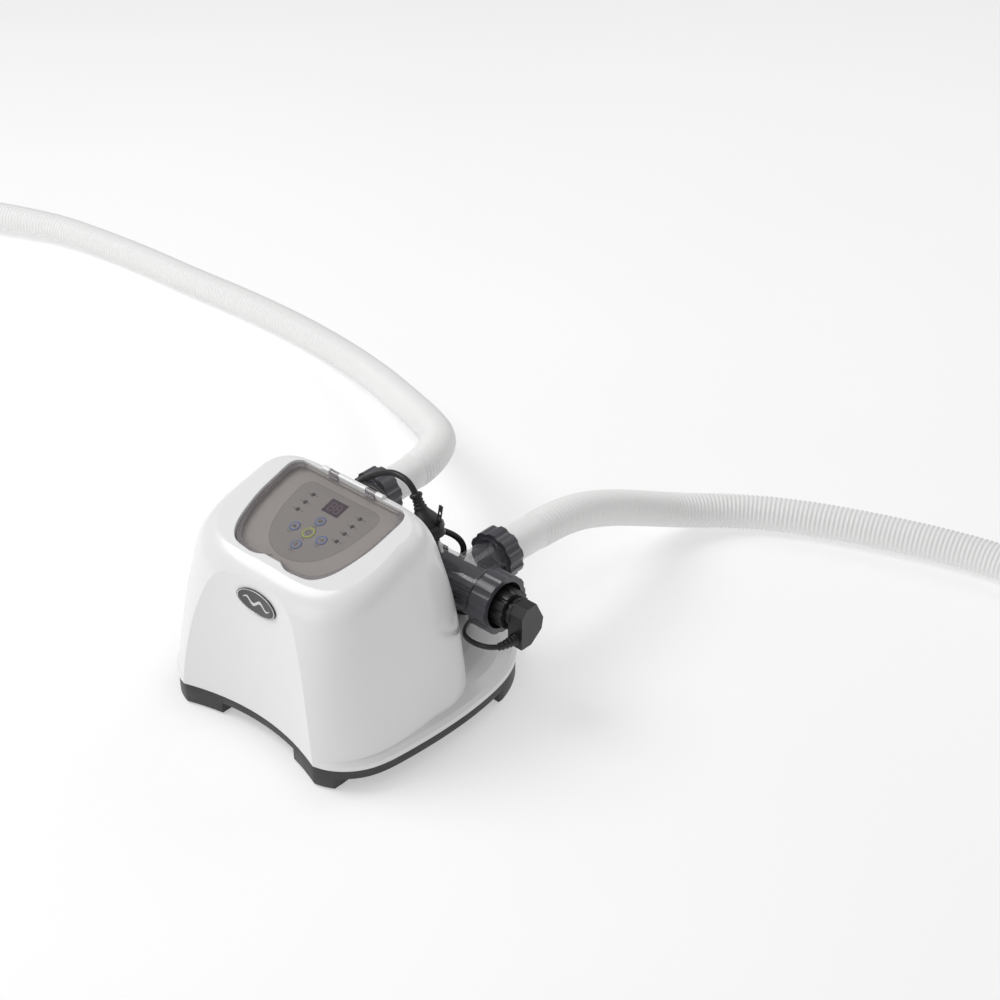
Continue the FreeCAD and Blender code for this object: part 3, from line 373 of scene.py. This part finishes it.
def key_look(name, u, v, radius, ring):
    """A membrane key: taupe, with a coloured ring near its rim."""
    made, tree, shader = blank(name)
    distance = top_distance(tree, u, v)
    band = node(tree, "ShaderNodeMath", {0: distance, 1: radius - 0.95, 2: 0.75}, operation="COMPARE")
    clouds = noise(tree, 90.0).outputs["Fac"]
    plain = tinted(tree, clouds, (0.235, 0.215, 0.200), (0.262, 0.242, 0.226))
    mix = node(tree, "ShaderNodeMix", data_type="RGBA")
    tree.links.new(band.outputs[0], mix.inputs["Factor"])
    tree.links.new(plain, mix.inputs[6])
    mix.inputs[7].default_value = (*ring, 1.0)
    tree.links.new(mix.outputs[2], shader.inputs["Base Color"])
    grain = node(tree, "ShaderNodeBump", {
        "Height": noise(tree, 1500.0).outputs["Fac"], "Strength": 0.25, "Distance": mm(0.03)})
    tree.links.new(grain.outputs[0], shader.inputs["Normal"])
    shader.inputs["Roughness"].default_value = 0.48
    return made


def knuckle_mask(tree):
    """1 on the cover's two hinge knuckles, else 0."""
    place = node(tree, "ShaderNodeSeparateXYZ", {0: node(tree, "ShaderNodeTexCoord").outputs["Object"]})
    side = node(tree, "ShaderNodeMath", {0: place.outputs["X"]}, operation="ABSOLUTE").outputs[0]
    near = node(tree, "ShaderNodeMath", {0: side, 1: mm(KNUCKLE_X), 2: mm(KNUCKLE_REACH)},
                operation="COMPARE")
    rear = node(tree, "ShaderNodeMath", {0: place.outputs["Y"], 1: mm(KNUCKLE_FRONT_Y)},
                operation="GREATER_THAN")
    both = node(tree, "ShaderNodeMath", {0: near.outputs[0], 1: rear.outputs[0]}, operation="MULTIPLY")
    return both.outputs[0]


def clear(name, colour, alpha, rough, streaks=0.0, knuckles=False):
    """Clear moulded plastic with faint clouds in it. The cover's thick knuckles let less light through."""
    made, tree, shader = blank(name)
    clouds = noise(tree, 25.0, 4.0).outputs["Fac"]
    shade = tinted(tree, clouds, [c * 0.9 for c in colour], [min(1.0, c * 1.1) for c in colour])
    tree.links.new(shade, shader.inputs["Base Color"])
    clarity = node(tree, "ShaderNodeMapRange", {
        "Value": clouds, "From Min": 0.3, "From Max": 0.7, "To Min": alpha * 0.93, "To Max": alpha * 1.07})
    if knuckles:
        clarity = node(tree, "ShaderNodeMath", {0: knuckle_mask(tree), 1: 0.55, 2: clarity.outputs[0]},
                       operation="MULTIPLY_ADD")
    tree.links.new(clarity.outputs[0], shader.inputs["Alpha"])
    waves = node(tree, "ShaderNodeBump", {
        "Height": noise(tree, 60.0, 2.0).outputs["Fac"], "Strength": 0.2, "Distance": mm(0.2 + streaks)})
    tree.links.new(waves.outputs[0], shader.inputs["Normal"])
    shader.inputs["Roughness"].default_value = rough
    shader.inputs["Specular IOR Level"].default_value = 0.9
    shader.inputs["Coat Weight"].default_value = 0.6
    shader.inputs["Coat Roughness"].default_value = 0.05
    return made


WHITE = moulded("white_shell", (0.80, 0.80, 0.805), 0.33, vary=0.012, grain=420.0, depth=0.02, coat=0.35,
                edge=1.2)
BASE_GREY = moulded("base_grey", (0.036, 0.036, 0.037), 0.52, vary=0.10, depth=0.08, edge=2.0)
RUBBER = moulded("rubber", (0.022, 0.022, 0.023), 0.75, vary=0.15, depth=0.1)
TAUPE = moulded("panel_taupe", (0.335, 0.308, 0.288), 0.42, vary=0.03)
OVERLAY = moulded("overlay_taupe", (0.247, 0.227, 0.212), 0.50, vary=0.03, grain=1400.0, edge=0.15)
BLACK = moulded("black_plastic", (0.009, 0.009, 0.0095), 0.36, vary=0.15, depth=0.05, coat=0.1, edge=0.7)
CORD = moulded("cord_jacket", (0.007, 0.007, 0.0075), 0.42, vary=0.2, grain=1100.0, depth=0.04, edge=0.0)
NUT = moulded("nut_grey", (0.052, 0.050, 0.060), 0.34, vary=0.10, depth=0.05, coat=0.2, edge=0.6)
HOSE = moulded("hose_white", (0.86, 0.86, 0.855), 0.48, vary=0.02, grain=500.0, depth=0.05, edge=0.0)
STEEL = moulded("steel", (0.55, 0.55, 0.56), 0.30, vary=0.08, metal=1.0, scratches=True, edge=0.2)
ALUMINIUM = moulded("aluminium", (0.62, 0.62, 0.63), 0.38, vary=0.06, metal=1.0, scratches=True)
COPPER = moulded("copper_winding", (0.45, 0.19, 0.08), 0.32, vary=0.12, metal=1.0, scratches=True,
                 edge=0.2)
IRON = moulded("laminations", (0.10, 0.10, 0.11), 0.45, vary=0.2, metal=0.7, scratches=True, edge=0.2)
TITANIUM = moulded("cell_plate", (0.10, 0.10, 0.11), 0.40, vary=0.2, metal=0.8, scratches=True, edge=0.1)
BOARD = moulded("circuit_board", (0.02, 0.12, 0.05), 0.45, vary=0.25, cloud=160.0, depth=0.05, edge=0.1)
PARTS = moulded("board_parts", (0.06, 0.07, 0.10), 0.40, vary=0.3, cloud=60.0)
LED = moulded("indicator", (0.030, 0.018, 0.022), 0.35, vary=0.1, coat=0.1, edge=0.0)
DISPLAY = moulded("display_dark", (0.030, 0.014, 0.026), 0.25, vary=0.12, cloud=60.0, depth=0.01, coat=0.2,
                  edge=0.1)
SEGMENT = moulded("display_segment", (0.16, 0.10, 0.14), 0.30, vary=0.1, edge=0.0)
PRINT = moulded("print_grey", (0.050, 0.048, 0.058), 0.55, vary=0.1, edge=0.0)
BADGE = moulded("badge_black", (0.012, 0.012, 0.013), 0.22, vary=0.15, coat=0.6)
BADGE_LIGHT = moulded("badge_silver", (0.62, 0.62, 0.63), 0.28, vary=0.05, metal=0.6, edge=0.2)
LID = clear("clear_cover", (0.30, 0.275, 0.29), 0.09, 0.07, knuckles=True)
LID_RIM = clear("cover_rim", (0.26, 0.23, 0.25), 0.30, 0.10)
SMOKE = clear("smoke_tube", (0.14, 0.135, 0.155), 0.26, 0.06, streaks=0.4)
RINGS = {"centre": (0.38, 0.46, 0.02), "blue": (0.085, 0.15, 0.38)}

LOOKS = {
    "top_shell": WHITE, "base_tray": BASE_GREY, "rubber_feet": RUBBER, "base_screws": STEEL,
    "front_badge": BADGE, "panel_frame": TAUPE, "keypad_overlay": OVERLAY, "display_window": DISPLAY,
    "display_module": PARTS, "indicator_leds": LED, "tact_switches": PARTS, "panel_board": BOARD,
    "clear_cover": LID, "cover_hinge_pins": STEEL, "transformer_core": IRON, "transformer_coil": COPPER,
    "transformer_bracket": STEEL, "power_board": BOARD, "heat_sink": ALUMINIUM, "relays": PARTS,
    "capacitors": PARTS, "terminal_block": BOARD, "fuse_holder": PARTS, "mains_gland": BLACK,
    "lead_glands": BLACK, "cell_housing": SMOKE, "tube_saddles": BASE_GREY, "tube_straps": BASE_GREY,
    "strap_screws": STEEL, "cell_plates": TITANIUM, "cell_head": BLACK, "cell_plug": BLACK,
    "cell_nut": NUT, "sensor_nut": NUT, "end_seals": RUBBER, "sensor_body": BLACK, "sensor_paddle": BLACK,
    "paddle_pin": STEEL, "hose_gaskets": RUBBER, "hose_tails": HOSE, "hose_nut_left": NUT,
    "hose_nut_right": NUT, "hose_cuff_left": HOSE, "hose_cuff_right": HOSE, "far_nut_left": NUT,
    "far_nut_right": NUT, "cord_ties": BLACK,
}


def dress_nodes():
    """A material on every piece of the model, the keys' rings, and rounder edges on two blocky pieces."""
    for name, material in LOOKS.items():
        NODES[name].data.materials.clear()
        NODES[name].data.materials.append(material)
    for word, (u, v, radius) in KEYS.items():
        ring = RINGS["centre" if word == "centre" else "blue"]
        target = NODES["key_" + word].data
        target.materials.clear()
        target.materials.append(key_look("key_" + word, u, v, radius, ring))
    for name, width in (("base_tray", 3.0), ("cell_plug", 1.2)):
        weld = NODES[name].modifiers.new("joined", "WELD")
        weld.merge_threshold = mm(0.01)
        soften(NODES[name], width, angle=38.0)


# ---------------------------------------------------------------- hoses and cords

HOSE_SIDES = 40
HOSE_PLAIN = 48.0      # smooth end of a hose before its ribs
HOSE_GROW = 8.0        # the ribs rise to their depth over this distance
HOSE_PITCH = 6.0
HOSE_RIB = 1.5         # how deep the ribs are
RINGS_PER_RIB = 7      # rings of points along the outside
LINING_RINGS = 160     # and along the inside


def make_hose(word, route):
    """White spiral-ribbed hose, smooth at its end, on the route that the model's tube has."""
    line = line_of(mm(route))
    # the hose begins a little before its route
    heading = line[1] - line[0]
    line[0] -= heading / np.linalg.norm(heading) * mm(1.2)
    length = lengths_along(line)[-1]
    sides = HOSE_SIDES
    stations = np.arange(0.0, length, mm(HOSE_PITCH) / RINGS_PER_RIB)
    stations = np.append(stations, length)
    turn = np.linspace(0.0, 1.0, sides, endpoint=False)
    phase = (stations[:, None] / mm(HOSE_PITCH) + turn[None, :]) * 2.0 * math.pi
    rise = np.clip((stations - mm(HOSE_PLAIN)) / mm(HOSE_GROW), 0.0, 1.0)[:, None]
    rib = (0.5 + 0.5 * np.cos(phase)) ** 1.4 * HOSE_RIB
    lip = np.clip(1.0 - stations / mm(2.0), 0.0, 1.0)[:, None] * 0.8
    outer = mm(1.0) * (HOSE_R - HOSE_RIB + rib * rise + (1.0 - rise) * 0.55 - lip)
    shell = sweep(line, stations, outer, sides)
    inner_stations = np.linspace(length, 0.0, LINING_RINGS)
    inner = np.full(LINING_RINGS, mm(HOSE_BORE - 0.6))
    lining = sweep(line[::-1], length - inner_stations, inner, sides)
    # the lining's rings run back along the hose, so their sides are matched to the outer ones
    outer_end, inner_end = shell[-sides:], lining[:sides]
    best = min(range(sides * 2), key=lambda k: np.linalg.norm(matched(inner_end, k, sides) - outer_end))
    lining = [matched(lining[r * sides:(r + 1) * sides], best, sides) for r in range(LINING_RINGS)]
    points = np.concatenate([shell, *lining])
    faces = grid_faces(len(stations) + LINING_RINGS, sides, wrap_rows=True)
    piece = add_mesh("hose_" + word + "_ribbed", points, faces, HOSE)
    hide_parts("hose_" + word)
    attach(piece, HOUSING)
    tuple(mm(route[0]))
    mm(2 * HOSE_R)


def matched(ring, shift, sides):
    """A ring's points, turned by some places, and reversed for the second half of the shifts."""
    order = (np.arange(sides) + shift) % sides
    if shift >= sides:
        order = (shift - np.arange(sides)) % sides
    return ring[order]


def hank_turns():
    """The tied hank: oblong turns beside and on each other, from the cord's entry to where it leaves."""
    radii = [HANK_END_R - MAINS_R - 2 * MAINS_R * (HANK_COLUMNS - 1 - c) for c in range(HANK_COLUMNS)]
    order = []
    for layer in range(HANK_LAYERS):
        columns = radii if layer % 2 == 1 else radii[::-1]
        order += [(radius, HANK_CENTRE[1] + MAINS_R + 0.3 + 2 * MAINS_R * layer) for radius in columns]
    corners = 6
    step = math.pi / corners
    half = HANK_RUN / 2.0
    inset = 14.0       # the points on a run are this far from its middle and its ends
    points = []
    for index, (radius, depth) in enumerate(order):
        reach = radius / math.cos(step / 2.0)
        loop = [(x, radius) for x in (inset, half - inset)]
        loop += [(half + reach * math.sin((k + 0.5) * step), reach * math.cos((k + 0.5) * step))
                 for k in range(corners)]
        loop += [(x, -radius) for x in (half - inset, inset, -inset, inset - half)]
        loop += [(-half - reach * math.sin((k + 0.5) * step), -reach * math.cos((k + 0.5) * step))
                 for k in range(corners)]
        loop += [(x, radius) for x in (inset - half, -inset)]
        # the last points of a turn lead over to the next one
        following = order[min(index + 1, len(order) - 1)]
        for k, (x, y) in enumerate(loop):
            share = max(0.0, (k + 2 - len(loop)) / 3.0)
            wide = radius + (following[0] - radius) * share
            back = depth + (following[1] - depth) * share
            points.append((x, y * wide / radius if abs(x) < half else y, back))
    return [(HANK_CENTRE[0] - x, back, HANK_CENTRE[2] + y) for x, y, back in points]


def place_curve(name, points, radius, material):
    """A round cord on a route given in mm."""
    piece = nurbs(name, mm(points), mm(radius))
    piece.data.materials.append(material)
    bpy.context.scene.collection.objects.link(piece)
    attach(piece, HOUSING)
    return piece


def ribbed_boot(name, line, length, big, small, ribs, material):
    """A strain relief with open ribs, thick where it leaves its part, along the start of a cord's line."""
    stations = np.linspace(0.0, mm(length), ribs * 10 + 1)
    share = stations / mm(length)
    wave = np.clip(np.cos(share * ribs * 2.0 * math.pi) * 2.5, -1.0, 1.0)
    grooves = np.where((share > 0.12) & (share < 0.93), 0.55 * (wave - 1.0), 0.0)
    radii = mm(1.0) * (big + (small - big) * share ** 0.8 + grooves)
    radii[-1] = mm(small - 0.7)
    piece = solid_sweep(name, line, stations, radii, 28, material)
    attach(piece, HOUSING)
    return piece


# the moulded plug: (distance, radius) pairs of its boot, its ribs and its round body
PLUG_PROFILE = [
    (-1.5, 3.7), (-1.0, 5.6), (0.2, 7.2), (2.6, 7.4), (3.6, 6.4), (5.0, 5.6), (6.2, 5.3), (6.8, 6.0),
    (8.2, 6.1), (8.8, 5.4), (10.0, 5.5), (10.6, 6.4), (12.0, 6.6), (12.6, 5.9), (14.0, 6.2), (14.6, 7.2),
    (16.2, 7.6), (17.0, 7.0), (19.0, 8.0), (22.5, 10.4), (26.5, 13.4), (30.5, 15.8), (34.0, 17.0),
    (38.0, 17.4), (43.0, 17.5), (43.6, 16.8), (44.4, 16.8), (45.0, 17.5), (50.5, 17.4), (52.4, 16.6),
    (53.0, 15.4),
]
PIN_PROFILE = [(0.0, 2.4), (17.2, 2.4), (18.6, 2.1), (19.4, 1.4), (19.6, 0.6)]


def make_mains():
    """Mains lead: gland, run over the tube, tied hank, arc over the back, moulded plug."""
    points = MAINS_ROUTE_OUT + hank_turns() + MAINS_ROUTE_PLUG
    cord = place_curve("mains_lead", points, MAINS_R, CORD)
    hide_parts("mains_cord", "mains_hank", "mains_cord_end")
    line = line_of(mm(points))
    relief = ribbed_boot("mains_relief", line, 26.0, 6.6, 4.4, 5, CORD)
    plug = lathe("plug_body", mm(PLUG_START), PLUG_AXIS, PLUG_PROFILE, 48, CORD)
    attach(plug, HOUSING)
    axis = np.array(PLUG_AXIS) / np.linalg.norm(PLUG_AXIS)
    across = np.cross(axis, (0.0, 1.0, 0.0))
    for word, sign in (("upper", -1.0), ("lower", 1.0)):
        foot = np.array(PLUG_START) + axis * PIN_FROM + across * sign * PIN_SPREAD
        pin = lathe("plug_pin_" + word, mm(list(foot)), axis, PIN_PROFILE, 24, STEEL)
        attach(pin, HOUSING)
    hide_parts("mains_plug")
    tuple(mm(MAINS_ROUTE_OUT[0]))
    mm(2 * MAINS_R)


def make_leads():
    """The cell's lead and the sensor's, each with a boot at its plug and a relief at its gland."""
    for word, route in (("cell", CELL_ROUTE), ("sensor", SENSOR_ROUTE)):
        lead = place_curve(word + "_lead_cord", route, LEAD_R, CORD)
        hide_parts(word + "_lead")
        back = line_of(mm(route))[::-1]
        # the boot begins a little inside the plug
        heading = back[0] - back[1]
        back = np.concatenate([[back[0] + heading / np.linalg.norm(heading) * mm(1.0)], back])
        boot = ribbed_boot(word + "_boot", back, 24.0, 7.0, 4.4, 5, CORD)
        relief = ribbed_boot(word + "_relief", line_of(mm(route)), 16.0, 5.2, 3.8, 3, CORD)
        tuple(mm(route[0]))
        mm(2 * LEAD_R)


# ---------------------------------------------------------------- prints and fittings of the panel

def printed(name, strokes, width, height_w, body, material, thick=0.1):
    """Thin raised print: strokes are pairs of (u, v) points in mm on the sloping top."""
    points, faces = [], []
    for (u0, v0), (u1, v1) in strokes:
        run = math.hypot(u1 - u0, v1 - v0) or 1.0
        du, dv = (u1 - u0) / run, (v1 - v0) / run
        pu, pv = -dv * width / 2.0, du * width / 2.0
        eu, ev = du * width * 0.3, dv * width * 0.3
        b = len(points)
        corners = ((u0 - eu + pu, v0 - ev + pv), (u0 - eu - pu, v0 - ev - pv),
                   (u1 + eu - pu, v1 + ev - pv), (u1 + eu + pu, v1 + ev + pv))
        for w in (height_w - 0.05, height_w + thick):
            points += [top(u, v, w) for u, v in corners]
        faces += [(b + 3, b + 2, b + 1, b), (b + 4, b + 5, b + 6, b + 7)]
        faces += [(b + k, b + (k + 1) % 4, b + 4 + (k + 1) % 4, b + 4 + k) for k in range(4)]
    piece = add_mesh(name, points, faces, material, smooth=False)
    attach(piece, body)


def polyline(points, closed=False):
    """The strokes between points."""
    pairs = list(zip(points, points[1:]))
    if closed:
        pairs.append((points[-1], points[0]))
    return pairs


def arc(u, v, radius, first, last, count):
    """Points on an arc from one angle to another, in degrees."""
    angles = [math.radians(first + (last - first) * k / count) for k in range(count + 1)]
    return [(u + radius * math.cos(a), v + radius * math.sin(a)) for a in angles]


def make_prints():
    """Generic signs on the keys, tick marks beside the indicators, and the display's segments."""
    signs = {
        "centre": polyline(arc(0, 0, 2.7, 120, 420, 14)) + [((0, 0.8), (0, 3.4))],
        "rear": polyline([(-1.9, -1.7), (1.9, -1.7), (1.9, 1.7), (-1.9, 1.7)], True)
                + [((-0.6, 0), (0.6, 0))],
        "front": polyline([(0, 2.6), (1.5, -0.2), (1.1, -1.7), (0, -2.3), (-1.1, -1.7), (-1.5, -0.2)],
                          True),
        "left": polyline([(-2.4, -1.4), (0, 1.9), (2.4, -1.4)])
                + polyline([(-1.2, -1.6), (0, 0), (1.2, -1.6)]),
        "right": polyline(arc(-0.4, 0, 2.4, -60, 60, 6)) + [((-2.4, 0), (0.6, 0))],
    }
    for word, (u, v, _) in KEYS.items():
        strokes = [((a[0] + u, a[1] + v), (b[0] + u, b[1] + v)) for a, b in signs[word]]
        printed("sign_" + word, strokes, 0.95, KEY_TOP_W, "key_" + word + "_cap", PRINT)

    marks = []
    for u, places in ((-LED_X, LED_LEFT_V), (LED_X, LED_RIGHT_V)):
        for v in places:
            marks.append(((u - 6.5, v - 0.6), (u - 3.4, v - 0.6)))
            marks.append(((u + 3.6, v + 0.2), (u + 7.4, v + 0.2)))
    for u, v, radius in KEYS.values():
        marks.append(((u - 3.2, v - radius - 2.6), (u + 3.2, v - radius - 2.6)))
    printed("panel_marks", marks, 0.75, PANEL_W, HOUSING, PRINT, thick=0.06)

    segments = []
    for u in (-4.6, 4.6):
        rows = [DISPLAY_V + 6.0, DISPLAY_V, DISPLAY_V - 6.0]
        segments += [((u - 2.0, v), (u + 2.0, v)) for v in rows]
        for low, high in ((rows[2], rows[1]), (rows[1], rows[0])):
            segments += [((u + side, low + 0.9), (u + side, high - 0.9)) for side in (-2.9, 2.9)]
    printed("display_segments", segments, 0.9, PANEL_W, HOUSING, SEGMENT, thick=0.05)


def natural_spline(points, count):
    """A smooth curve through points, spaced by their distances, as an array of points."""
    points = np.array(points, float)
    knots = lengths_along(points)
    size = len(points)
    gap = np.diff(knots)
    system, right = np.zeros((size, size)), np.zeros((size, points.shape[1]))
    system[0, 0] = system[-1, -1] = 1.0
    for k in range(1, size - 1):
        system[k, k - 1:k + 2] = gap[k - 1], 2.0 * (gap[k - 1] + gap[k]), gap[k]
        right[k] = 6.0 * ((points[k + 1] - points[k]) / gap[k] - (points[k] - points[k - 1]) / gap[k - 1])
    bend = np.linalg.solve(system, right)
    made = []
    for at in np.linspace(0.0, knots[-1], count):
        k = min(np.searchsorted(knots, at, side="right") - 1, size - 2)
        h, a, b = gap[k], knots[k + 1] - at, at - knots[k]
        made.append(bend[k] * a ** 3 / (6 * h) + bend[k + 1] * b ** 3 / (6 * h)
                    + (points[k] / h - bend[k] * h / 6) * a
                    + (points[k + 1] / h - bend[k + 1] * h / 6) * b)
    return np.array(made)


def cover_side(grow):
    """The right side of the cover's outline, from its rear corner to the notch in its front edge."""
    half = COVER_HALF_WIDTH + grow
    rear = COVER_REAR_V + grow
    front = COVER_FRONT_V - grow
    points = [(half - 13.0, rear), (half - 3.0, rear - 6.0), (half - 0.5, -12.0), (half - 1.7, -44.0),
              (half - 6.5, -70.0), (half - 18.0, front + 14.5), (half - 30.5, front + 3.5),
              (half - 47.0, front + 0.2), (half - 66.0, front + 0.4), (half - 71.0, front + 2.4),
              (half - 76.0, front + 4.6)]
    return natural_spline(points, 80)


def strip(name, outlines, body, material):
    """A closed bar along an outline: outlines has (points in u and v, w), in order round the bar."""
    rows = [np.array([top(u, v, w) for u, v in points]) for points, w in outlines]
    count = len(rows[0])
    points = np.concatenate([np.array([row[k] for row in rows]) for k in range(count)])
    sides = len(rows)
    faces = grid_faces(count, sides)
    faces += [tuple(range(sides - 1, -1, -1)), tuple(range((count - 1) * sides, count * sides))]
    piece = add_mesh(name, points, faces, material, smooth=False)
    soften(piece, 0.25)
    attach(piece, body)


def make_cover_rim():
    """The cover's down-turned edge: a tinted rim along each side and round to the notch in the front."""
    outer, inner = cover_side(-0.4), cover_side(-4.6)
    low, high = -1.9, COVER_TOP_W + 0.15
    for word, sign in (("right", 1.0), ("left", -1.0)):
        flip = np.array((sign, 1.0))
        section = [(outer * flip, low), (inner * flip, low), (inner * flip, high), (outer * flip, high)]
        strip("cover_rim_" + word, section, "cover", LID_RIM)


def make_badge():
    """A light rim round the blank badge and a thin silver wave on it, on the front face's own curve."""
    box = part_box("front_badge")
    centre = (np.array(box[0]) + np.array(box[1])) / 2.0
    half_x = (box[1][0] - box[0][0]) / 2.0
    half_z = (box[1][2] - box[0][2]) / 2.0

    def on_badge(x, z, out):
        y = FACE_Y + FACE_LEAN * (z - FACE_FOOT_Z) ** 2 - x * x / FACE_HOLLOW - out
        return (mm(x), mm(y), mm(z))

    steps = 96
    points = []
    for k in range(steps):
        angle = 2.0 * math.pi * k / steps
        for scale, out in ((1.0, 1.6), (1.0, 2.4), (0.95, 2.4), (0.95, 1.6)):
            x = (centre[0] + half_x * math.cos(angle) * 0.975 * scale) * 1000.0
            z = (centre[2] + half_z * math.sin(angle) * 0.95 * scale) * 1000.0
            points.append(on_badge(x, z, out))
    faces = grid_faces(steps, 4, wrap_rows=True)
    piece = add_mesh("badge_rim", points, faces, BADGE_LIGHT)
    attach(piece, HOUSING)

    points, count = [], 60
    for k in range(count + 1):
        share = k / count
        x = centre[0] * 1000.0 - 21.0 + 42.0 * share
        z = centre[2] * 1000.0 + 3.0 * math.sin(share * 4.0 * math.pi)
        half = 0.4 + 1.5 * math.sin(share * math.pi)
        for rise, out in ((-half, 1.6), (-half, 2.35), (half, 2.35), (half, 1.6)):
            points.append(on_badge(x, z + rise, out))
    faces = grid_faces(count + 1, 4) + [(3, 2, 1, 0), tuple(range(count * 4, count * 4 + 4))]
    piece = add_mesh("badge_wave", points, faces, BADGE_LIGHT, smooth=False)
    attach(piece, HOUSING)


# ---------------------------------------------------------------- stage

def make_stage():
    """Pale floor, pale surroundings and soft lights."""
    floor_look, tree, shader = blank("floor")
    shade = tinted(tree, noise(tree, 1.5).outputs["Fac"], (0.58, 0.58, 0.58), (0.62, 0.62, 0.62))
    tree.links.new(shade, shader.inputs["Base Color"])
    shader.inputs["Roughness"].default_value = 0.9
    shader.inputs["Emission Color"].default_value = (1.0, 1.0, 1.0, 1.0)
    shader.inputs["Emission Strength"].default_value = 0.42
    mesh = bpy.data.meshes.new("floor")
    reach = 14.0
    corners = [(-reach, -reach), (reach, -reach), (reach, reach), (-reach, reach)]
    mesh.from_pydata([(x, y, -0.0005) for x, y in corners], [], [(0, 1, 2, 3)])
    mesh.materials.append(floor_look)
    floor = bpy.data.objects.new("floor", mesh)
    bpy.context.scene.collection.objects.link(floor)

    world = bpy.data.worlds.new("studio")
    world.use_nodes = True
    sky = world.node_tree.nodes["Background"].inputs
    sky["Color"].default_value = (1.0, 1.0, 1.0, 1.0)
    sky["Strength"].default_value = 0.48
    bpy.context.scene.world = world
    bpy.context.scene.view_settings.view_transform = "Standard"
    lights = (
        ("key", (-1.6, -1.0, 2.6), 1.8, 45.0),
        ("back", (0.2, 2.6, 2.4), 2.0, 14.0),
        ("front", (-0.6, -2.6, 1.2), 1.6, 8.0),
    )
    for name, place, size, power in lights:
        data = bpy.data.lights.new(name, "AREA")
        data.shape = "DISK"
        data.size = size
        data.energy = power
        lamp = bpy.data.objects.new(name, data)
        lamp.location = place
        aim = Vector((0.0, 0.0, 0.12)) - Vector(place)
        lamp.rotation_euler = aim.to_track_quat("-Z", "Y").to_euler()
        bpy.context.scene.collection.objects.link(lamp)


make_camera()
make_hose("right", HOSE_RIGHT)
make_hose("left", HOSE_LEFT)
make_mains()
make_leads()
dress_nodes()
make_prints()
make_cover_rim()
make_badge()
make_stage()
